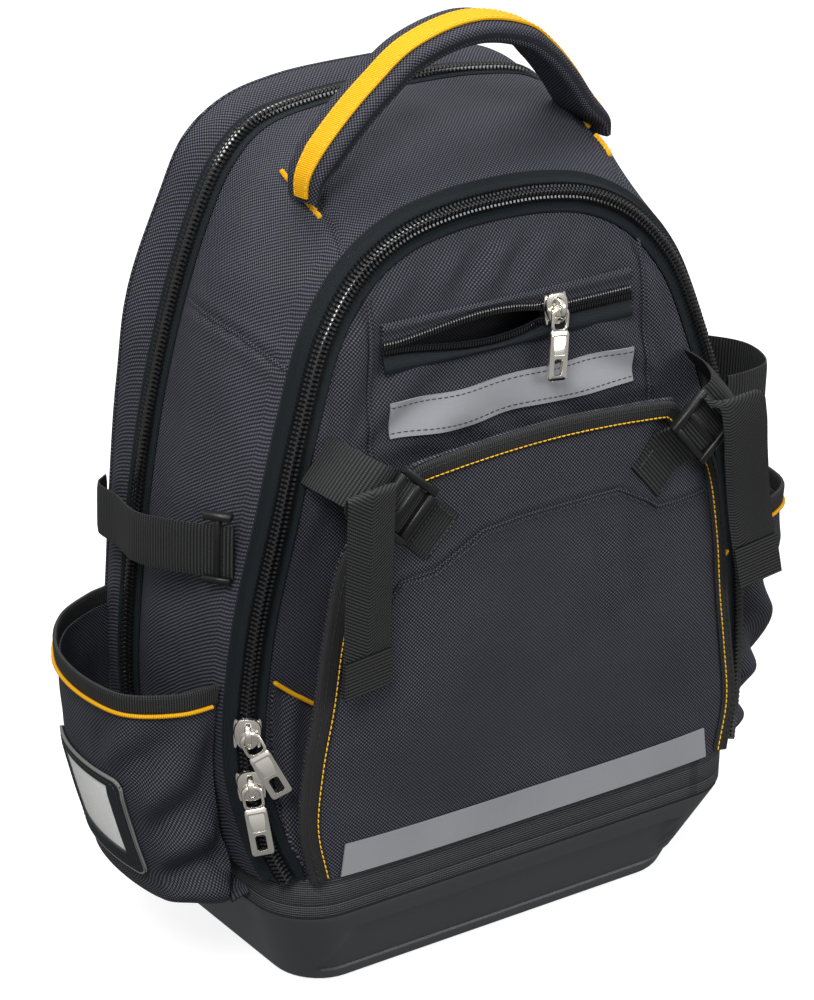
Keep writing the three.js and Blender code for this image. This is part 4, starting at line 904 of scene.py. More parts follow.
def zip_teeth():
    smooth_normals = lambda rows: normals_of(np.array(rows))[1]
    for name, share, node in (("front", 0, "front_zip_coil"), ("main", 1, "main_zip_coil")):
        if share == 0:
            rows = [between(0, -TAPE_INNER, -2), between(0, 0, 0), between(0, TAPE_OUTER, TAPE_OUTER)]
        else:
            rows = [between(1, 0, -TAPE_INNER), between(1, 0.6, 0), between(1, 0.3, TAPE_INNER)]
        data = tooth_row(rows[1], smooth_normals(rows), 2.15, 4.6, 3.0, 1.45)
        make(f"{name}_zip_teeth", *data, teeth, replaces=[node])


# Front panel and its zipped pocket

SLIT_FROM = -64.0
SLIT_TO = 24.0
SLIT_Z = 312.0


def slit_gap(x):
    share = np.clip((x - SLIT_FROM) / (SLIT_TO - SLIT_FROM), 0, 1)
    return 5 * np.sin(np.pi * share**1.3) + CLEARANCE


def zip_line(x):
    """The pocket zip's own sagging line."""
    return SLIT_Z + 3.0 * (1 - (x / 69) ** 2) - 1.2


def panel_relief(x, z):
    """Folds that spread from the panel's upper corners and over its zipped pocket."""
    relief = np.zeros_like(x)
    for side in (-1, 1):
        turn = np.arctan2(z - 262, side * (x - side * 96))
        reach = np.hypot(x - side * 96, z - 262)
        relief = relief + 1.8 * np.sin(turn * 11) * ridge(reach - 52, 30) * ridge(z - 300, 60)
    top = np.clip((z - 323) / 10, 0, 1) * np.clip((353 - z) / 8, 0, 1)
    relief = relief + 1.9 * np.sin(2 * np.pi * (x - 0.6 * z) / 27.0) * top * ridge(x + 8, 48)
    low = ridge(z - 259, 11) * ridge(x, 62)
    return relief + 1.3 * np.sin(2 * np.pi * (x + 0.9 * z) / 31.0) * low


def arch_fill(edge, legs, rows):
    """A grid that fills an arched outline from its foot to its crown."""
    end = len(edge) - 1
    top = edge[legs : end - legs + 1]
    share = np.linspace(0, 1, top.shape[0])[:, None]
    level = top[0] + (top[-1] - top[0]) * share
    grid = []
    for k in np.linspace(0, 1, rows + 1):
        leg = k * legs
        i = int(min(leg, legs - 1))
        t = leg - i
        left = edge[i] + (edge[i + 1] - edge[i]) * t
        right = edge[end - i] + (edge[end - i - 1] - edge[end - i]) * t
        grid.append(left + (right - left) * share + (top - level) * k**2)
    return np.array(grid)


def front_panel():
    edge = between(0, -TAPE_INNER - CLEARANCE, -2)
    grid = arch_fill(edge, 100, 110)
    x, z = grid[..., 0], grid[..., 2]
    columns = np.linspace(-1, 1, grid.shape[1])[None] * np.ones_like(x)
    rows = np.linspace(0, 1, grid.shape[0])[:, None] * np.ones_like(x)
    seam = np.maximum(np.clip((np.abs(columns) - 0.93) / 0.07, 0, 1), np.clip((rows - 0.96) / 0.04, 0, 1))
    face = panel_face(x, z) - panel_relief(x, z) * (1 - seam) - 1.0 * lump(grid, 30, 5) * (1 - seam)
    grid[..., 1] = face * (1 - seam) + grid[..., 1] * seam
    middle = (grid[:-1, :-1] + grid[1:, 1:]) / 2
    gap = np.abs(middle[..., 2] - SLIT_Z) < 8.4
    keep = ~((np.abs(middle[..., 0]) < 68) & gap)
    uv = np.stack([x, z], axis=2)
    sheet("front_panel_cloth", grid, -CLOTH, 0, cloth, ["front_panel"], keep=keep, uv=uv)
    for which, side in SIDE.items():
        rise = np.linspace(255, 336, 60)
        across = side * (80 - (rise - 255) * 0.05)
        line = on_panel(across, rise)
        line[:, 1] -= panel_relief(across, rise) + 0.9
        out = np.tile([0.0, -1.0, 0.0], (len(line), 1))
        welt(f"{which}_panel_seam", line, out, 1.0, 0.7)


def pocket_zip():
    """The pocket's zip: a tape above, a hanging lip below, and their teeth."""
    x = np.linspace(-70, 70, 90)
    for side, node in ((1, "pocket_zip_upper"), (-1, "pocket_zip_lower")):
        rows = []
        inner = SLIT_Z + side * slit_gap(x)
        outer = SLIT_Z + side * 11.5
        for share in np.linspace(0, 1, 9):
            z = inner + (outer - inner) * share
            p = on_panel(x, z)
            roll = 1.6 * ridge(share - 0.78, 0.22)
            p[:, 1] -= 0.3 + roll + (1.0 if side < 0 else 0.2) * (slit_gap(x) / 5) * (1 - share)
            rows.append(p)
        grid = np.array(rows if side > 0 else rows[::-1])
        uv = grid_uv(grid)[..., ::-1]
        piece = "upper" if side > 0 else "lower"
        surface = cloth if side > 0 else tape
        sheet(f"pocket_zip_{piece}_tape", grid, -1.0, 0.2, surface, [node], uv=uv, slot="zip_tape")
        line = on_panel(x, inner + side * 1.0)
        line[:, 1] -= 0.5 + (0.9 if side < 0 else 0.3) * slit_gap(x) / 5
        out = np.tile([0.0, -1.0, 0.0], (len(line), 1))
        parts = half_teeth(line, out, side, 1.45, 2.3)
        make(f"pocket_zip_{piece}_teeth", *parts, teeth)


def half_teeth(line, normals, side, pitch, reach):
    path = spaced(line, 1500)
    count = int(length(path) / pitch)
    at = (np.arange(count) + 0.5 + (0.25 if side < 0 else -0.25)) / count
    pick = lambda values: np.stack(
        [np.interp(at, np.linspace(0, 1, len(values)), values[:, k]) for k in range(3)], axis=1
    )
    parts = []
    for p, o, t in zip(pick(path), unit(pick(normals)), unit(pick(tangents(path)))):
        s = np.cross(o, t)
        s = s * side * (1 if s[2] > 0 else -1)
        rings = []
        for x, h in ((-1.2, 1.0), (0.6, 1.0), (1.8, 0.8), (reach, 0.1)):
            top = p + s * x + o * (1.4 * h)
            low = p + s * x + o * max(1.4 * h - 1.0, 0.1)
            rings.append([top - t * 0.34, top + t * 0.34, low + t * 0.4, low - t * 0.4])
        parts.append(ring_data(rings))
    return merge(parts)


def pocket_back():
    x = np.linspace(-77, 77, 40)
    z = np.linspace(211, 331, 36)
    xx, zz = np.meshgrid(x, z)
    grid = on_panel(xx, zz)
    u = 1 - (xx / 77) ** 4
    v = np.maximum(np.sin(np.pi * (zz - 211) / 120), 0)
    grid[..., 1] += CLOTH + 3 * SEAM_ROOM + TRIM + 14 * u * v
    # The lining uses the darker cloth copy: painted shade inside the pocket.
    sheet("zip_pocket_lining", grid, 0, TRIM, shaded_cloth, ["zip_pocket_back"])


def reflective_pieces():
    x = np.linspace(-68.5, 68.5, 90)
    z = np.linspace(270, 287, 9)
    xx, zz = np.meshgrid(x, z)
    wave = 1.3 * np.sin(xx / 12.0 + 1.0) * ridge(xx + 10, 60)
    grid = on_panel(xx, zz + wave)
    grid[..., 1] -= panel_relief(xx, zz + wave) + 1.2 + 0.9 * np.sin(xx / 9.0)
    sheet("reflective_tape_upper", grid, 0, 0.8, grey_tape, ["reflective_tape"])
    edge_stitches("reflective_tape_stitches", grid, 0.9, (1, 7))
    x = np.linspace(-108, 108, 100)
    share = np.linspace(0, 1, 9)
    top = BODY_BASE + 16
    rows = [on_flap(x * (1 - 0.02 * s), BODY_BASE + 0.4 + (top - BODY_BASE) * s) for s in share]
    grid = np.array(rows)
    sheet("reflective_tape_lower", grid, SEAM_ROOM, SEAM_ROOM + 0.8, grey_tape, ["reflective_strip"])


# Stitches


def stitch_data(path, normals, pitch, long, radius, lift):
    """Small rounded stitches along a line, each a short bar that dips at both ends."""
    fine = spaced(path, 3000)
    count = max(2, int(length(fine) / pitch))
    at = (np.arange(count) + 0.5) / count
    pick = lambda values: np.stack(
        [np.interp(at, np.linspace(0, 1, len(values)), values[:, k]) for k in range(3)], axis=1
    )
    parts = []
    shape = [(-0.5, -0.6, 0.35), (-0.32, 0.1, 0.9), (0, 0.35, 1.0), (0.32, 0.1, 0.9), (0.5, -0.6, 0.35)]
    turn = 2 * np.pi * np.arange(5) / 5
    for p, n, t in zip(pick(fine), unit(pick(normals)), unit(pick(tangents(fine)))):
        s = np.cross(n, t)
        rings = []
        for a, h, r in shape:
            centre = p + t * (a * long) + n * (lift + h * radius)
            ring = [centre + (s * np.cos(k) + n * np.sin(k)) * radius * r for k in turn]
            rings.append(ring)
        parts.append(ring_data(rings))
    return merge(parts)


def stitches(name, path, normals, surface=None, pitch=3.6, long=2.9, radius=0.34, lift=0.1, **more):
    data = stitch_data(path, normals, pitch, long, radius, lift)
    return make(name, *data, surface or yellow_thread, **more)


def edge_stitches(name, grid, lift, rows):
    n = normals_of(grid)
    parts = [stitch_data(grid[r] + n[r] * lift, n[r], 3.2, 2.4, 0.22, 0.0) for r in rows]
    make(name, *merge(parts), black_thread)


# Tool flap and inner pocket


def flap_grid(rows=110, columns=120):
    share = np.linspace(-1, 1, columns + 1)
    grid = []
    for k in np.linspace(0, 1, rows + 1):
        level = BODY_BASE + 0.1 + (FLAP_TOP - BODY_BASE) * k
        x = share * flap_half(level)
        p = on_flap(x, np.full_like(x, level))
        p[:, 2] += FLAP_BOW * k**3 * (1 - share**2)
        grid.append(p)
    return np.array(grid)


# Reinforcing seam near the flap's top, as (x, z)
FLAP_SEAM = [(-84, 206), (-79, 213), (-62, 215), (-36, 229), (-14, 231), (26, 231), (42, 231), (60, 221)]
FLAP_SEAM = FLAP_SEAM + [(67, 216), (99, 215)]


def tool_flap():
    grid = flap_grid()
    gap = distance_to(grid[..., [0, 2]], FLAP_SEAM)
    relief = 1.1 * lump(grid, 34, 8, (1, 1, 0.5)) + 0.35 * lump(grid, 12, 9)
    edge = 1 - np.abs(np.linspace(-1, 1, grid.shape[1]))[None]
    relief = relief * np.clip(edge / 0.12, 0, 1) - 0.8 * ridge(gap, 1.3) + 0.3 * ridge(gap - 3, 2)
    grid[..., 1] -= relief
    uv = np.stack([grid[..., 0], grid[..., 2]], axis=2)
    sheet("tool_flap_cloth", grid, -CLOTH, 0, cloth, ["tool_flap"], uv=uv)
    seam = spaced(np.array([(x, 0, z) for x, z in FLAP_SEAM]), 160)
    line = on_flap(seam[:, 0], seam[:, 2])
    out = np.tile([0.0, -1.0, 0.0], (len(line), 1))
    line[:, 1] -= 0.4
    welt("flap_seam", line, out, 0.7, 0.6)
    stitches("flap_seam_stitches", line + [0, 0, -2.6], out, black_thread, 2.8, 2.2, 0.24, 0.6)


def flap_outline(steps=120, inset=0.6):
    z = np.linspace(BODY_BASE + 0.2, FLAP_TOP, steps)
    left = np.stack([-(flap_half(z) - inset), 0 * z, z], axis=1)
    share = np.linspace(-1, 1, 60)[1:-1]
    lift = FLAP_BOW * (1 - share**2) - inset
    top = np.stack([share * flap_half(FLAP_TOP), 0 * share, FLAP_TOP + lift], axis=1)
    right = (left * [-1, 1, 1])[::-1]
    line = np.vstack([left, top, right])
    for _ in range(6):
        line[1:-1] = (line[:-2] + line[1:-1] * 2 + line[2:]) / 4
    return spaced(line, 320)


def inward(line, distance):
    way = np.gradient(line, axis=0)
    side = unit(np.stack([way[:, 2], 0 * way[:, 0], -way[:, 0]], axis=1))
    moved = line + side * distance
    moved[:, 2] = np.maximum(moved[:, 2], BODY_BASE + 0.2)
    return moved


def laid(line, lift):
    moved = line.copy()
    moved[:, 1] = flap_face(line[:, 0], np.minimum(line[:, 2], FLAP_TOP + 5)) - lift
    return moved


def flap_binding():
    outline = flap_outline()
    rows = []
    for share, lift in ((0, 0.2), (0.03, 1.2), (0.12, 1.9), (0.5, 2.0), (0.88, 1.9), (1, 1.0)):
        rows.append(laid(inward(outline, 9.2 * share - 0.4), lift))
    grid = np.array(rows[::-1])
    uv = grid_uv(grid)[..., ::-1]
    sheet("flap_binding_tape", grid, -0.6, 0.2, binding, ["flap_binding"], uv=uv)
    line = laid(inward(outline, 7.0), 2.3)
    out = np.tile([0.0, -1.0, 0.0], (len(line), 1))
    stitches("flap_binding_stitches", line, out, pitch=2.7, long=2.2, radius=0.33)
    line = laid(inward(outline, 2.4), 2.2)
    stitches("flap_edge_stitches", line, out, black_thread, radius=0.26)


def flap_pleats():
    z = np.linspace(98, 226, 30)
    for name, side in SIDE.items():
        outer = flap_half(z) - 5
        inner = outer - 8
        near = flap_face(outer, z) + CLOTH + 0.9
        far = panel_face(inner, z) - 3.3
        rows = []
        for share in np.linspace(0, 1, 7):
            x = outer + (inner - outer) * share**2
            rows.append(np.stack([side * x, near + (far - near) * share, z], axis=1))
        # The pleats use the darker cloth copy: painted shade between the flap and the panel.
        sheet(f"{name}_pleat_cloth", np.array(rows), -0.5, 0.5, shaded_cloth, [f"{name}_flap_pleat"])


INNER_HEM = {"x": [0.0, 0.5, 0.78, 0.9, 1.0], "z": [0.73, 0.74, 0.79, 0.89, 1.0]}


def inner_place(share, rise):
    wide = 133.0 * share
    hem = BODY_BASE + (168 - BODY_BASE) * column(INNER_HEM, "x", "z", np.abs(share))
    z = BODY_BASE + (hem - BODY_BASE) * rise
    limit = line_half("front", z) - TAPE_INNER - 1.2
    x = np.clip(wide, -limit, limit)
    return on_panel(x, z)


def inner_pocket():
    share = np.linspace(-1, 1, 110)
    rise = np.linspace(0, 1, 34)
    xx, zz = np.meshgrid(share, rise)
    grid = inner_place(xx, zz)
    folds = 1.5 * np.sin(np.abs(xx) * 60 + zz * 4) * np.clip((np.abs(xx) - 0.82) / 0.1, 0, 1)
    grid[..., 1] -= folds * zz * np.clip((1 - np.abs(xx)) / 0.03, 0, 1)
    sheet("inner_pocket_cloth", grid, SEAM_ROOM, SEAM_ROOM + TRIM, cloth, ["inner_pocket"])
    for name, side in SIDE.items():
        share = np.linspace(0.995, 0.84, 40) * side
        line = inner_place(share, np.ones_like(share))
        line[:, 2] += 1.2
        line[:, 1] -= 3.4
        up = np.tile([0.0, -1.0, 0.0], (len(line), 1))
        tube(f"{name}_inner_cord", line, up, 1.1, 1.1, 10, yellow_tape,
             replaces=[f"{name}_inner_piping"])


# Side pockets


def pocket_place(which, around, z):
    rise = np.clip((z - POCKET_LOW) / (HEM[which] - POCKET_LOW), 0, 1)
    depth = column(ROUND, "around", "depth", around)
    out = np.maximum(0, column(ROUND, "around", "out", around))
    reach = POCKET_REACH * column(UPRIGHT, "rise", "reach", rise)
    seat = (RIM[0] + 4) + (LINES["front"][0] + 2 - RIM[0] - 4) * np.clip(rise * 2, 0, 1)
    side = bag_side(z, depth)
    wall = np.maximum(side + 0.3, side + (seat + reach - side) * out)
    return np.stack([SIDE[which] * wall, depth, z], axis=-1)


def beside_card(which, around, z):
    """0 where the card window holds the left pocket's cloth flat, rising to 1 beside it."""
    if which == "right":
        return np.ones_like(around)
    aside = np.maximum(0.28 - around, around - 0.70) * 190.0
    over = z - 121.0
    return np.clip(np.maximum(aside, over) / 12.0, 0, 1)


def pocket_folds(which, around, z):
    """Folds that fan out from the pocket's low outer corner towards its front edge."""
    rise = (z - POCKET_LOW) / (HEM[which] - POCKET_LOW)
    body = np.clip((0.92 - rise) / 0.15, 0, 1) * np.clip(around / 0.04, 0, 1)
    body = body * np.clip((1 - around) / 0.05, 0, 1) * beside_card(which, around, z)
    ahead = (0.47 - around) * 210.0
    up = z - 52.0
    turn = np.arctan2(up, ahead)
    reach = np.hypot(ahead, up)
    fan = 4.2 * np.sin(turn * 17.0 + 0.7 * np.sin(reach / 14)) * ridge(reach - 82, 44)
    fan = fan * np.clip((1.45 - turn) / 0.3, 0, 1)
    low = 1.3 * np.sin(rise * 22 + around * 5) * ridge(rise - 0.05, 0.16)
    return (fan + low) * body


def pocket_grid(which, low, high, rows, start=0.0, end=1.0, columns=120):
    around = np.linspace(start, end, columns + 1)
    z = np.linspace(low, high, rows + 1)
    aa, zz = np.meshgrid(around, z)
    grid = pocket_place(which, aa, zz)
    out = unit(np.cross(np.gradient(grid, axis=1), [0, 0, 1.0])) * SIDE[which]
    grid = grid + out * pocket_folds(which, aa, zz)[..., None]
    return grid[:, ::-1] if which == "left" else grid


def side_pocket(which):
    hem = HEM[which]
    wall = pocket_grid(which, POCKET_LOW, hem - HEM_WIDTH + 1, 60)
    lumps = 1.3 * lump(wall, 26, 11 if which == "left" else 12)
    lumps = lumps * np.clip(np.linspace(1, 0, len(wall)) * 6, 0, 1)[:, None]
    places = np.linspace(0, 1, wall.shape[1])[None] * np.ones((len(wall), 1))
    places = places[:, ::-1] if which == "left" else places
    lumps = lumps * beside_card(which, places, wall[..., 2])
    wall = wall + normals_of(wall) * lumps[..., None]
    floor = []
    for share in (0.04, 0.3, 0.6, 0.85):
        p = wall[0].copy()
        inner = SIDE[which] * (RIM[0] + 0.7)
        p[:, 0] = inner + (p[:, 0] - inner) * share
        p[:, 2] = POCKET_LOW + 3 * (1 - share)
        floor.append(p)
    sheet(f"{which}_pocket_cloth", np.concatenate([floor, wall]), -CLOTH, 0, cloth, [f"{which}_pocket"])
    grid = pocket_grid(which, hem - HEM_WIDTH, hem, 10)
    share = np.abs(np.linspace(-1, 1, 11))[:, None] * np.ones(grid.shape[1])
    half = 1.4 * (1 - 0.5 * share**6)
    uv = grid_uv(grid)[..., ::-1]
    sheet(f"{which}_pocket_binding", grid, -half, half - 0.2, binding, [f"{which}_pocket_hem"], uv=uv)
    around = np.linspace(0.02, 0.98, 160)
    z = np.full_like(around, hem - HEM_WIDTH - 0.2)
    line = pocket_place(which, around, z)
    line = line + pocket_out(which, line) * 1.5
    up = np.tile([0.0, 0.0, 1.0], (len(line), 1))
    tube(f"{which}_pocket_cord", line, up, 1.0, 1.0, 10, yellow_tape,
         replaces=[f"{which}_pocket_piping"])


def pocket_out(which, line):
    """Level directions that face out of a pocket along a line round it."""
    return unit(np.cross(tangents(line), [0, 0, 1.0])) * SIDE[which]


CARD = {"from": 0.3, "to": 0.68, "low": 66.0, "high": 119.0}
CARD_STEP = 0.0064
CARD_BORDER = {"ahead": 9.0, "behind": 4.5, "below": 9.0, "above": 4.5}


def card_place(around, z, lift):
    line = pocket_place("left", around, z)
    line[..., 0] -= lift
    return line


def card_patch(lift, opening, rows=20, columns=44):
    """The card frame's outline, or its opening, on the left pocket."""
    share = 1.0 if opening else 0.0
    ahead = (CARD_BORDER["ahead"] - 1.5) * CARD_STEP * share
    behind = (CARD_BORDER["behind"] - 1.5) * CARD_STEP * share
    around = np.linspace(CARD["from"] + ahead, CARD["to"] - behind, columns + 1)
    low = CARD["low"] + (CARD_BORDER["below"] - 1.5) * share
    z = np.linspace(low, CARD["high"] - (CARD_BORDER["above"] - 1.5) * share, rows + 1)
    aa, zz = np.meshgrid(around, z)
    return card_place(aa, zz, lift)[:, ::-1]


def card_outline(inset, corner=5.0, steps=8):
    """A rounded rectangle round the card as (around, z) pairs, closed."""
    low = CARD["low"] + inset
    high = CARD["high"] - inset
    start = inset
    end = (CARD["to"] - CARD["from"]) / CARD_STEP - inset
    points = []
    for cx, cz, turn in (
        (start + corner, low + corner, 1.0),
        (end - corner, low + corner, 1.5),
        (end - corner, high - corner, 0.0),
        (start + corner, high - corner, 0.5),
    ):
        for k in range(steps + 1):
            angle = math.pi * (turn + 0.5 * k / steps)
            points.append((cx + corner * math.cos(angle), cz + corner * math.sin(angle)))
    points.append(points[0])
    flat = np.array([(x, 0, z) for x, z in points])
    line = spaced(flat, 220)
    return CARD["from"] + line[:, 0] * CARD_STEP, line[:, 2]


def card_window():
    sheet("name_card", card_patch(0.2, True), 0.0, 0.4, card, ["id_card"])
    sheet("card_window", card_patch(0.9, True), 0.0, 0.4, window, ["id_window"])
    rows, columns = 54, 124
    grid = card_patch(0.2, False, rows, columns)
    behind = (np.arange(columns) + 0.5) / columns * (CARD["to"] - CARD["from"]) / CARD_STEP
    total = (CARD["to"] - CARD["from"]) / CARD_STEP
    up = (np.arange(rows) + 0.5) / rows * (CARD["high"] - CARD["low"])
    tall = CARD["high"] - CARD["low"]
    x = behind[None] * np.ones((rows, 1))
    z = up[:, None] * np.ones((1, columns))
    opening = (x > CARD_BORDER["behind"]) & (total - x > CARD_BORDER["ahead"])
    opening = opening & (z > CARD_BORDER["below"]) & (tall - z > CARD_BORDER["above"])
    in_x = np.minimum(x, total - x)
    in_z = np.minimum(z, tall - z)
    corner = np.hypot(np.maximum(5 - in_x, 0), np.maximum(5 - in_z, 0)) > 5.0
    sheet("card_frame", grid, 0.0, 1.9, tape, ["id_frame"], keep=~opening & ~corner, slot="webbing")
    around, z = card_outline(0.2)
    line = card_place(around, z, 1.5)
    out = card_normals(line)
    tube("card_frame_edging", line, out, 1.0, 0.8, 8, frame_edge)
    around, z = card_outline(2.6)
    line = card_place(around, z, 2.2)
    stitches("card_frame_stitches", line, card_normals(line), black_thread, 2.6, 2.0, 0.26, 0.0)


def card_normals(line):
    centre = np.array([-140.0, 5.0, 0.0])
    way = (line - centre) * [1, 0.6, 0]
    return unit(way)


# Straps

SIDE_STRAPS = {
    "left": [(3.6, -49, 228), (8, -41, 228), (12, -22, 225), (16, 4, 220), (17, 32, 216),
             (12, 54, 213), (2, 64, 211)],
    "right": [(2.6, -49, 240), (14, -49, 240), (32, -40, 238), (38, -12, 236), (31, 18, 233),
              (16, 48, 229), (2, 64, 226)],
}


def side_strap_path(which, steps):
    rows = SIDE_STRAPS[which]
    points = [(SIDE[which] * (bag_side(z, d) + out), d, z) for out, d, z in rows]
    return curve(points, steps)


def side_straps():
    for which in SIDE:
        path = side_strap_path(which, 90)
        across = np.tile([0.0, 0.0, 1.0], (len(path), 1))
        strap(f"{which}_side_webbing", path, across, webbing, replaces=[f"{which}_side_strap"])
        foot = path[:2] + [0, -0.6, 0]
        line = np.array([foot[0] + [0, 3, -10], foot[0] + [0, 3, 10]])
        out = np.tile([SIDE[which], 0, 0.0], (2, 1))
        stitches(f"{which}_side_bartack", spaced(line, 20), out, black_thread, 1.0, 2.2, 0.3, 1.2)


def side_glide():
    path = side_strap_path("left", 40)
    middle = path[5] + [0, 0, 2.0]
    along = unit(path[6] - path[4])
    up = np.array([0, 0, 1.0])
    out = -unit(np.cross(up, along))
    out = out if out[0] < 0 else -out
    frame_at("left_side_glide", middle + out * 0.4, along, up, out, 13.5, 34.0, 5.2,
             ["left_triglide"], bars=(0.0,), rail=3.4)


def frame_at(name, centre, way, across, out, long, wide, thick, nodes, bars=(-0.5, 0.5), rail=3.0,
             body="bag"):
    """A moulded buckle: two side rails joined by rounded cross bars."""
    parts = []
    box = lambda half_a, half_b: [(half_a, half_b), (-half_a, half_b), (-half_a, -half_b), (half_a, -half_b)]

    def rod(start, end, half_a, half_b, dir_a, dir_b):
        rings = []
        for t, k in ((0, 0.75), (0.04, 1), (0.96, 1), (1, 0.75)):
            p = start + (end - start) * t
            ring = []
            for turn in np.pi * (np.arange(12) + 0.5) / 6:
                ca, sa = np.cos(turn), np.sin(turn)
                a = np.sign(ca) * abs(ca) ** 0.5 * half_a * k
                b = np.sign(sa) * abs(sa) ** 0.5 * half_b * k
                ring.append(p + dir_a * a + dir_b * b)
            rings.append(ring)
        parts.append(ring_data(rings))

    for side in (-1, 1):
        edge = centre + across * side * (wide / 2 - rail / 2)
        rod(edge - way * long / 2, edge + way * long / 2, rail / 2, thick / 2, across, out)
    for share in bars:
        at = centre + way * share * (long - rail)
        rod(at - across * (wide / 2 - rail), at + across * (wide / 2 - rail), rail / 2, thick * 0.42, way, out)
    make(name, *merge(parts), plastic, replaces=nodes, body=body)


SLOPE = math.radians(42)
TAB = (66.0, 238.0, 22.0)
BUCKLE = (85.0, 255.0, 24.0, 30.0)
BUCKLE_LEVEL = -FLAP_REACH - 6.5


def strap_way(side):
    return np.array([side * math.cos(SLOPE), 0, math.sin(SLOPE)])


def strap_across(side):
    return np.array([-side * math.sin(SLOPE), 0, math.cos(SLOPE)])


def flap_tabs():
    for which, side in SIDE.items():
        way = strap_way(side)
        across = strap_across(side)
        middle = np.array([side * TAB[0], 0, TAB[1]])
        rows = []
        for v in np.linspace(-0.5, 0.5, 13):
            u = np.linspace(-0.5, 0.62, 24)
            p = middle + u[:, None] * TAB[2] * way + v * WEBBING_WIDTH * across
            p[:, 1] = flap_face(p[:, 0], np.minimum(p[:, 2], FLAP_TOP)) - 1.0
            p[:, 1] -= 5.5 * np.clip((u - 0.3) / 0.32, 0, 1) ** 1.5
            rows.append(p)
        grid = np.array(rows if side < 0 else rows[::-1])
        uv = grid_uv(grid, centre=False)[..., ::-1]
        sheet(f"{which}_tab_webbing", grid, 0.0, 1.7, webbing, [f"{which}_tab"], uv=uv)
        square = []
        for a, b in ((-0.42, -0.4), (-0.42, 0.4), (0.16, 0.4), (0.16, -0.4), (-0.42, -0.4)):
            square.append(middle + a * TAB[2] * way + b * WEBBING_WIDTH * across)
        line = np.vstack([np.linspace(p, q, 20) for p, q in zip(square, square[1:])])
        line[:, 1] = flap_face(line[:, 0], line[:, 2]) - 2.7
        out = np.tile([0.0, -1.0, 0.0], (len(line), 1))
        stitches(f"{which}_tab_stitches", line, out, black_thread, 2.4, 1.9, 0.27, 0.1)


def buckles():
    for which, side in SIDE.items():
        way = strap_way(side)
        across = strap_across(side)
        centre = np.array([side * BUCKLE[0], BUCKLE_LEVEL - 0.1, BUCKLE[1]])
        out = np.array([0, -1.0, 0])
        frame_at(
            f"{which}_ladder_lock", centre, way, across, out, BUCKLE[2], BUCKLE[3], 4.4,
            [f"{which}_buckle"], bars=(-0.5, -0.02, 0.5), rail=3.7,
        )
        t = np.linspace(-1, 1, 40)[:, None]
        path = centre + way * t * 9.5 - out * (0.2 + 1.6 * t**2 - 1.3 * ridge(t + 0.04, 0.25))
        through = np.tile(across, (len(path), 1))
        strap(f"{which}_lock_webbing", path, through, webbing, width=21.5, wall=1.2)


def front_straps():
    for which, side in SIDE.items():
        points = [
            (side * 108, -60.8, 270),
            (side * 107.8, -70, 270),
            (side * 106, -81, 269),
            (side * 101, BUCKLE_LEVEL + 4.2, 266),
            (side * 92, BUCKLE_LEVEL + 3.4, 261),
        ]
        path = curve(points, 30)
        across = np.tile(strap_across(side), (len(path), 1))
        strap(f"{which}_front_webbing", path, across, webbing, replaces=[f"{which}_front_strap"])


TAILS = {
    "left": (
        [
            (-106.5, -98.4, 262),
            (-107, -100.6, 269.2),
            (-107.4, -102.6, 268.8),
            (-107.4, -102.6, 258),
            (-106, -100.5, 235),
            (-103.5, -96.5, 200),
            (-102, -94, 168),
        ],
        (1, 0, 0.1),
        100,
    ),
    "right": (
        [(91, -98.4, 262), (96, -100.6, 268), (101, -102.4, 267.5), (104.5, -102.4, 257),
         (110.5, -98.5, 235), (121.5, -92, 200), (131, -91, 164)],
        (0.97, -0.05, 0.15),
        5,
    ),
}


def strap_tails():
    for which, (points, low, turned) in TAILS.items():
        side = SIDE[which]
        path = curve(points, 90)
        top = strap_across(side) * -side
        share = np.clip(np.linspace(0, 1, len(path)) * turned, 0, 1)[:, None]
        across = unit(top * (1 - share) + unit(np.array(low)) * share)
        strap(f"{which}_tail_webbing", path, across, webbing, replaces=[f"{which}_strap_tail"])
        end = path[-10:]
        hem = strap_grid(end + [0, -1.4, 0], across[-10:], WEBBING_WIDTH, 9)
        uv = grid_uv(hem, centre=False)[..., ::-1]
        sheet(f"{which}_tail_hem", hem, -0.6, 0.6, webbing, uv=uv)


# Handle

HANDLE = {
    "x": [-0.93, -0.915, -0.84, -0.68, -0.53, -0.34, 0.0, 0.33, 0.51, 0.67, 0.82, 0.955, 0.98],
    "rise": [-0.09, 0.08, 0.24, 0.49, 0.68, 0.88, 1.0, 0.88, 0.68, 0.44, 0.18, 0.0, -0.1],
    "depth": [0.0, 0.0, 0.0, 0.0, 0.0, 0.0, 0.0, 0.1, 0.3, 0.5, 0.75, 0.95, 1.0],
    "wide": [0.7, 0.85, 1.0, 1.0, 1.0, 1.0, 1.0, 1.0, 1.0, 1.0, 1.0, 0.95, 0.9],
    "thick": [0.4, 0.7, 1.0, 1.0, 1.0, 1.0, 1.0, 1.0, 1.0, 1.0, 1.0, 0.7, 0.4],
}


HANDLE_LEAN = ([0, 6, 8, 12], [14, 12, -4, -10])
HANDLE_LIFT = 0.4
HANDLE_HALF = (11.5, 5.2)
STRIP_HALF = 5.2
STRIP_FORWARD = 1.0


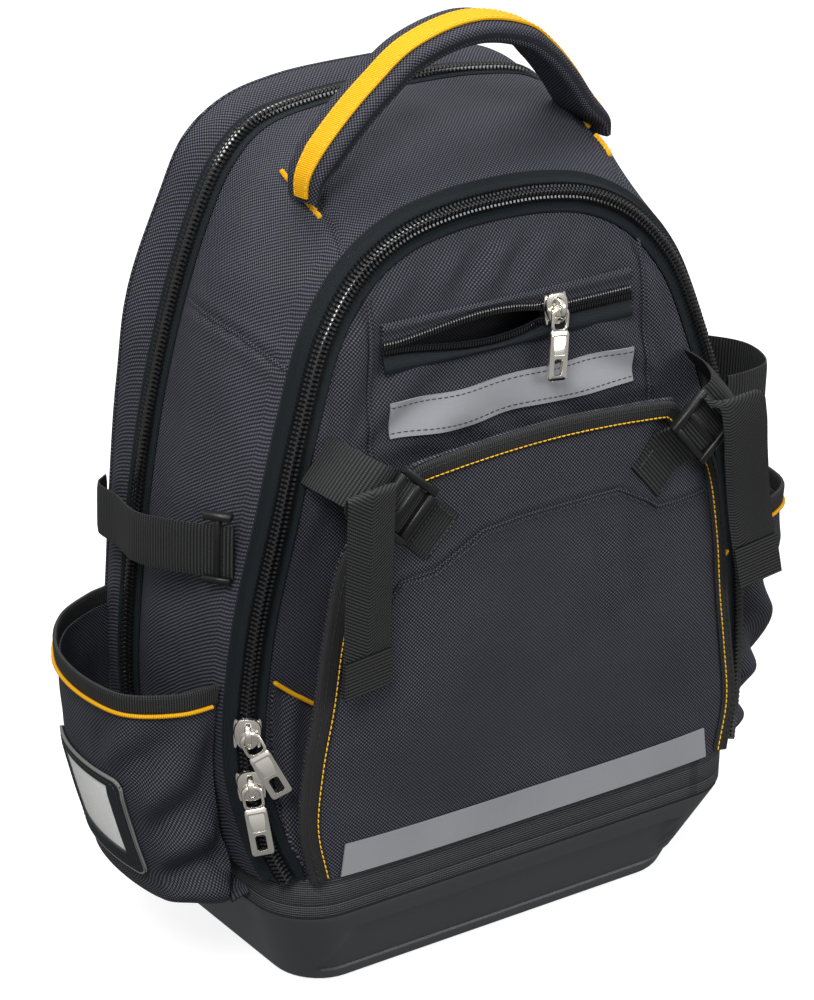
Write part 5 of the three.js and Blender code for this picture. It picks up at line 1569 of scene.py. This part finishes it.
def handle_sweep(steps):
    """The grip's path, its outward and sideways directions, and its half width and half thickness."""
    x = np.array(HANDLE["x"]) * 91
    y = -13 + np.array(HANDLE["depth"]) * 15
    z = 377 + (438 - 377) * np.array(HANDLE["rise"])
    path = curve(np.stack([x, y, z], axis=1), steps)
    place = np.linspace(0, 12, steps + 1)
    wide = np.interp(place, np.arange(13), HANDLE["wide"])
    thick = np.interp(place, np.arange(13), HANDLE["thick"])
    level = np.array([0, 1.0, 0])
    up = unit(np.cross(tangents(path), level))
    path = path + up * HANDLE_LIFT * thick[:, None]
    lean = np.radians(np.interp(place, *HANDLE_LEAN))[:, None]
    up = unit(up * np.cos(lean) - level * np.sin(lean))
    across = unit(np.cross(up, tangents(path)))
    across = across * np.sign(across[:, 1:2])
    return path, up, across, wide * HANDLE_HALF[0], thick * HANDLE_HALF[1]


def handle():
    path, up, across, wide, thick = handle_sweep(150)
    rings = tube_rings(path, up, wide, thick, 44, 0.52)
    verts, faces, uvs = ring_data(rings)
    grip = make("handle_grip_cloth", verts, faces, uvs, cloth, replaces=["handle_grip"])
    inner = slice(3, -3)
    base = path[inner] + up[inner] * (thick[inner, None] + 0.2)
    narrow = (wide[inner] / wide.max())[:, None]
    base = base - across[inner] * STRIP_FORWARD
    share = np.linspace(-1, 1, 9)
    grid = np.array([base + across[inner] * s * STRIP_HALF * narrow for s in share])
    half = 0.8 * (1 - 0.5 * np.abs(share)[:, None] ** 6) * np.ones(grid.shape[1])
    uv = grid_uv(grid, centre=False)[..., ::-1]
    sheet("handle_yellow_strip", grid, 0.1, half + 0.6, yellow_tape, ["handle_strip"], uv=uv)
    for name, s in (("front", -0.78), ("rear", 0.78)):
        line = base + up[inner] * 1.35 + across[inner] * s * STRIP_HALF * narrow
        stitches(f"handle_{name}_stitches", line, up[inner], yellow_thread, 3.4, 2.6, 0.26, 0.0)


# Wearer's side

BACK_FACE = BACK_DEPTH + CLOTH + BACK_PADDING + SEAM_ROOM


BAND_WALL = 2.9
FLARE = 16.0


def band_inside(x):
    """Depth of the band's inner edge behind the bag at x."""
    past = np.clip(np.abs(x) - (RIM[0] - RIM[2]), 0, 0.9 * RIM[2])
    return RIM[1] - RIM[2] + np.sqrt(RIM[2] ** 2 - past**2) - BAND_WALL


def back_panel():
    outline = shifted(BACK, -0.2, SEAM_ROOM)
    grid = arch_fill(outline, 100, 70)
    x, z = grid[..., 0], grid[..., 2]
    columns = np.linspace(-1, 1, grid.shape[1])[None] * np.ones_like(x)
    rows = np.linspace(0, 1, grid.shape[0])[:, None] * np.ones_like(x)
    edge = np.clip((1 - np.abs(columns)) / 0.6, 0, 1) * np.clip(rows * 3 + 0.25, 0, 1)
    swell = BACK_PADDING * edge**0.8 * np.clip((1 - rows) * 6, 0, 1) ** 0.7
    outer = grid.copy()
    outer[..., 1] += CLOTH + swell - 0.4 + 0.5 * lump(grid, 25, 15)
    low = np.clip(1 - (z - z.min()) / FLARE, 0, 1) ** 1.5
    outer[..., 1] += np.maximum(band_inside(x) - outer[..., 1], 0) * low
    verts = np.concatenate([outer.reshape(-1, 3), grid.reshape(-1, 3)])
    flat = np.stack([x, z], axis=2).reshape(-1, 2)
    r, c = grid.shape[:2]
    faces = []
    under = r * c
    for i in range(r - 1):
        for j in range(c - 1):
            a = i * c + j
            faces.append((a, a + 1, a + c + 1, a + c))
            faces.append((a + under, a + c + under, a + c + 1 + under, a + 1 + under))
    ring = [j for j in range(c)] + [i * c + c - 1 for i in range(1, r)]
    ring += [(r - 1) * c + j for j in range(c - 2, -1, -1)] + [i * c for i in range(r - 2, 0, -1)]
    for a, b in zip(ring, ring[1:] + ring[:1]):
        faces.append((b, a, a + under, b + under))
    uvs = np.concatenate([flat, flat])
    piece = make("back_panel_cloth", verts, faces, uvs, cloth, replaces=["back_panel"])


def back_pads():
    """The padded block against the back: upright channels in airy mesh."""
    x = np.linspace(-62, 62, 90)
    z = np.linspace(118, 330, 120)
    xx, zz = np.meshgrid(x, z)
    edge = np.minimum(62 - np.abs(xx), np.minimum(zz - 118, 330 - zz))
    dome = np.clip(edge / 14, 0, 1) ** 0.5
    channel = 1 - 0.55 * ridge(xx, 4) - 0.4 * ridge(zz - 224, 5)
    outer = np.stack([xx, BACK_FACE + 0.6 + 8.6 * dome * channel, zz], axis=2)
    inner = np.stack([xx, np.full_like(xx, BACK_FACE + 0.4), zz], axis=2)
    r, c = xx.shape
    verts = np.concatenate([outer.reshape(-1, 3), inner.reshape(-1, 3)])
    under = r * c
    faces = []
    for i in range(r - 1):
        for j in range(c - 1):
            a = i * c + j
            faces.append((a, a + 1, a + c + 1, a + c))
            faces.append((a + under, a + c + under, a + c + 1 + under, a + 1 + under))
    ring = [j for j in range(c)] + [i * c + c - 1 for i in range(1, r)]
    ring += [(r - 1) * c + j for j in range(c - 2, -1, -1)] + [i * c for i in range(r - 2, 0, -1)]
    for a, b in zip(ring, ring[1:] + ring[:1]):
        faces.append((b, a, a + under, b + under))
    flat = np.stack([xx, zz], axis=2).reshape(-1, 2)
    piece = make(
        "back_pad_mesh", verts, faces, np.concatenate([flat, flat]), back_mesh, replaces=["back_pad"]
    )


SHOULDER = [(34, 5, 350), (38, 11, 361), (44, 20, 354), (52, 27, 322), (66, 29, 276),
            (80, 25, 230), (90, 18, 185)]
STRAP_END = [(92, 15.5, 167.5), (97, 13.5, 145), (104, 9, 115), (109, -1.5, 88), (111, -5, 78)]


def shoulder_straps():
    for which, side in SIDE.items():
        points = [(side * x, BACK_FACE + out, z) for x, out, z in SHOULDER]
        path = curve(points, 120)
        up = np.cross(tangents(path), [1.0, 0, 0])
        share = np.linspace(0, 1, len(path))
        wide = 29.0 * np.where(share > 0.8, 1 - 0.38 * (share - 0.8) / 0.2, 1)
        quilt = 5.4 + 0.25 * np.sin(share * 60)
        piece = tube(
            f"{which}_shoulder_padding", path, up, wide, quilt, 28, cloth, 0.62,
            replaces=[f"{which}_shoulder_strap"],
        )
        band = slice(4, -4)
        centre = path[band] - up[band] * -5.9 * np.sign(up[band] @ [0, 1.0, 0])[:, None]
        across = unit(np.cross(tangents(centre), up[band]))
        strap(f"{which}_shoulder_webbing", centre, across, webbing, wall=1.2)
        points = [(side * x, BACK_FACE + out, z) for x, out, z in STRAP_END]
        path = curve(points, 60)
        across = np.tile([1.0, 0, 0], (len(path), 1))
        strap(f"{which}_end_webbing", path, across, webbing, replaces=[f"{which}_strap_end"])
        x, out, z = SHOULDER[-1]
        centre = np.array([side * (x + 1.6), BACK_FACE + out - 2, z - 9.6])
        frame_at(
            f"{which}_lower_lock", centre, np.array([0, 0, 1.0]), np.array([1.0, 0, 0]),
            np.array([0, 1.0, 0]), 12, 32, 5.4, [f"{which}_strap_lock"], bars=(-0.5, 0.5),
        )


# Zip sliders and pulls, in their own frame: x across, y out, z along the zip

PULL_LEVEL = 8.1


def node_frame(name, joint_axis=None):
    """A hinge's place in millimetres and its axis."""
    joint = next(j for j in frame["joints"] if j["name"] == name)
    return np.array(joint["pos_m"]) / MM, np.array(joint["axis"])


def rounded_plate(half_x, low, high, corner, steps=5):
    """The outline of a plate with rounded corners, in (x, z)."""
    points = []
    for sx, cz, start in ((1, high, 0.0), (-1, high, 0.5), (-1, low, 1.0), (1, low, 1.5)):
        cx = sx * (half_x - corner)
        z = cz - corner if cz == high else cz + corner
        for k in range(steps + 1):
            turn = math.pi * (start + 0.5 * k / steps)
            points.append((cx + corner * math.cos(turn), z + corner * math.sin(turn)))
    return np.array(points)


def plate_rings(outer, hole, half):
    """A plate with a hole, as one closed loop of rings round its edge section."""
    section = [(1.0, 0.35), (0.96, 1.0), (0.0, 1.0), (-0.0, 1.0)]
    rings = []
    o3 = lambda pts, y: np.column_stack([pts[:, 0], np.full(len(pts), y), pts[:, 1]])
    mid = outer.mean(axis=0)
    shrink = lambda pts, d: pts - unit(pts - mid) * d
    grow = lambda pts, d: pts + unit(pts - hole.mean(axis=0)) * d
    rings.append(o3(outer, -half * 0.4))
    rings.append(o3(outer, half * 0.4))
    rings.append(o3(shrink(outer, 0.5), half))
    rings.append(o3(grow(hole, 0.4), half))
    rings.append(o3(hole, half * 0.4))
    rings.append(o3(hole, -half * 0.4))
    rings.append(o3(grow(hole, 0.4), -half))
    rings.append(o3(shrink(outer, 0.5), -half))
    return ring_data(rings, closed=True)


def pull_data():
    """A pull: a rounded tag with a long window near its end, and a ring that holds it."""
    ring_outer = rounded_plate(5.0, -11.0, 1.0, 3.4)
    ring_hole = rounded_plate(3.3, -9.2, -0.9, 2.2)
    tag_outer = rounded_plate(5.3, -33.0, -9.6, 1.6)
    tag_hole = rounded_plate(2.2, -30.2, -23.2, 1.2)
    parts = [plate_rings(ring_outer, ring_hole, 0.85), plate_rings(tag_outer, tag_hole, 0.95)]
    rim = rounded_plate(4.3, -22.0, -11.6, 0.9)
    inner = rounded_plate(3.5, -21.2, -12.4, 0.6)
    parts.append(raised_rim(rim, inner, 0.9, 1.25))
    parts.append(raised_rim(rim, inner, -0.9, -1.25))
    return merge(parts)


def raised_rim(outer, inner, low, high):
    o3 = lambda pts, y: np.column_stack([pts[:, 0], np.full(len(pts), y), pts[:, 1]])
    return ring_data([o3(outer, low), o3(outer, high), o3(inner, high), o3(inner, low)], closed=True)


def slider_data():
    """A slider: a waisted shield with rounded edges and a bridge over it."""
    outline = []
    for turn in np.linspace(0, 2 * np.pi, 36, endpoint=False):
        c, s = math.cos(turn), math.sin(turn)
        z = 7.5 * np.sign(s) * abs(s) ** 0.7
        wide = 6.3 - 1.5 * max(0.0, -z / 7.5) ** 0.8 - 0.6 * max(0.0, z / 7.5) ** 6
        outline.append((wide * np.sign(c) * abs(c) ** 0.62, z))
    outline = np.array(outline)
    o3 = lambda pts, y: np.column_stack([pts[:, 0], np.full(len(pts), y), pts[:, 1]])
    rings = [
        o3(outline * 0.9, 3.4),
        o3(outline, 3.9),
        o3(outline, 5.0),
        o3(outline * 0.93, 5.9),
        o3(outline * 0.6, 6.25),
        o3(outline * 0.2, 6.3),
    ]
    parts = [ring_data(rings)]
    for side in (-1, 1):
        flange = [
            o3(outline * [0.16, 0.92] + [side * 5.3, 0], y) for y in (0.6, 1.2, 3.6, 4.4)
        ]
        parts.append(ring_data(flange))
    t = np.linspace(-1, 1, 26)
    bridge = np.stack([0 * t, 5.9 + 4.6 * (1 - np.abs(t) ** 3.2), t * 5.0], axis=1)
    rings = tube_rings(bridge, np.tile([1.0, 0, 0], (26, 1)), 0.75, 1.5, 12, 0.75)
    parts.append(ring_data(rings))
    return merge(parts)


def placed(data, origin, side, out, up):
    verts, faces, uvs = data
    basis = np.stack([side, out, up], axis=0)
    return verts @ basis + origin, faces, uvs


def zip_hardware():
    steps = 34
    line = arch_line("front", steps)
    rows = [between(0, -TAPE_INNER, -2), between(0, 0, 0), between(0, TAPE_OUTER, TAPE_OUTER)]
    fine_normals = normals_of(np.array(rows))[1]
    for name, along in (("upper", 3.55), ("lower", 2.4)):
        place, axis = node_frame(f"{name}_pull_hinge")
        at = int(round(along / steps * STEPS))
        up_line = unit(line[math.ceil(along)] - line[math.floor(along)])
        out = fine_normals[at]
        up = unit(up_line - out * (up_line @ out))
        side = np.cross(out, up)
        origin = place - out * PULL_LEVEL
        make(f"{name}_slider_body", *placed(slider_data(), origin, side, out, up), chrome,
             replaces=[f"{name}_slider"])
        add_pull(name, place, axis, out)
    place, axis = node_frame("pocket_pull_hinge")
    out = unit(np.array([0, -1.0, 0.16]))
    origin = place - out * PULL_LEVEL
    up = unit(np.cross([1.0, 0, 0], out))
    up = up if up[2] > 0 else -up
    side = np.cross(out, up)
    make("pocket_slider_body", *placed(slider_data(), origin, side, out, up), chrome,
         replaces=["pocket_slider"])
    add_pull("pocket", place, axis, out)


def add_pull(name, place, axis, out):
    side = unit(axis)
    out = unit(out - side * (out @ side))
    up = np.cross(side, out)
    make(f"{name}_pull_tag", *placed(pull_data(), place, side, out, up), chrome,
         body=f"{name}_pull", replaces=[f"{name}_pull"])


def hidden_slider():
    frame["nodes"]["main_slider"].data.materials.clear()
    frame["nodes"]["main_slider"].data.materials.append(chrome)


# Stage


def stage():
    """A lit white table that keeps a faint contact shadow, in a room that is brighter above."""
    floor = bpy.data.meshes.new("floor")
    reach = 40.0
    corners = [(-reach, -reach, 0), (reach, -reach, 0), (reach, reach, 0), (-reach, reach, 0)]
    floor.from_pydata(corners, [], [(0, 1, 2, 3)])
    made = bpy.data.materials.new("white_table")
    made.use_nodes = True
    shader = made.node_tree.nodes["Principled BSDF"]
    shader.inputs["Base Color"].default_value = (0.3, 0.3, 0.3, 1)
    shader.inputs["Roughness"].default_value = 1.0
    shader.inputs["Specular IOR Level"].default_value = 0.0
    shader.inputs["Emission Color"].default_value = (1, 1, 1, 1)
    shader.inputs["Emission Strength"].default_value = 0.85
    floor.materials.append(made)
    ground = bpy.data.objects.new("floor", floor)
    bpy.context.scene.collection.objects.link(ground)
    ground.visible_diffuse = False
    ground.visible_glossy = False
    world = bpy.data.worlds.new("studio")
    world.use_nodes = True
    background = world.node_tree.nodes["Background"]
    g = Graph(world.node_tree.nodes, world.node_tree.links)
    way = g.put("ShaderNodeTexCoord", {}).outputs["Generated"]
    height = g.put("ShaderNodeSeparateXYZ", {0: way}).outputs[2]
    ends = {"From Min": -0.35, "From Max": 0.8, "To Min": 0.26, "To Max": 0.84}
    glow = g.put("ShaderNodeMapRange", {"Value": height, **ends}).outputs[0]
    g.links.new(glow, background.inputs[1])
    background.inputs[0].default_value = (1, 1, 1, 1)
    bpy.context.scene.world = world
    bpy.context.scene.view_settings.view_transform = "Standard"


def light(name, place, target, size, power):
    lamp = bpy.data.lights.new(name, "AREA")
    lamp.shape = "RECTANGLE"
    lamp.size = size[0]
    lamp.size_y = size[1]
    lamp.energy = power
    obj = bpy.data.objects.new(name, lamp)
    obj.location = place
    way = Vector(target) - Vector(place)
    obj.rotation_euler = way.to_track_quat("-Z", "Y").to_euler()
    bpy.context.scene.collection.objects.link(obj)


def lights():
    light("key", (-1.3, -1.1, 1.9), (0, 0, 0.22), (0.8, 0.8), 46)
    light("fill", (1.3, -1.8, 1.1), (0, 0, 0.2), (1.2, 0.9), 20)
    light("top", (0.1, 0.4, 2.0), (0, 0, 0.3), (0.9, 0.7), 24)


def camera():
    """The camera that was fitted to the photograph's outline and seams."""
    right = Vector((0.8146936, -0.5791600, 0.0291209))
    up = Vector((0.2162474, 0.3500196, 0.9114403))
    forward = Vector((0.5380626, 0.7362472, -0.4104006))
    view = bpy.data.cameras.new("photo_view")
    view.sensor_fit = "VERTICAL"
    view.sensor_height = 36.0
    view.lens = 129.6
    view.clip_start = 0.05
    view.clip_end = 30
    obj = bpy.data.objects.new("photo_view", view)
    turn = Matrix((right, up, -forward)).transposed().to_4x4()
    obj.matrix_world = Matrix.Translation((-0.931735, -1.256191, 0.904834)) @ turn
    bpy.context.scene.collection.objects.link(obj)
    bpy.context.scene.camera = obj


camera()
stage()
lights()
base_tray()
base_band()
shell_pieces()
zip_tapes()
zip_teeth()
front_panel()
pocket_back()
pocket_zip()
reflective_pieces()
inner_pocket()
tool_flap()
flap_pleats()
flap_binding()
for pocket in SIDE:
    side_pocket(pocket)
card_window()
side_straps()
side_glide()
flap_tabs()
buckles()
front_straps()
strap_tails()
handle()
back_panel()
back_pads()
shoulder_straps()
zip_hardware()
hidden_slider()
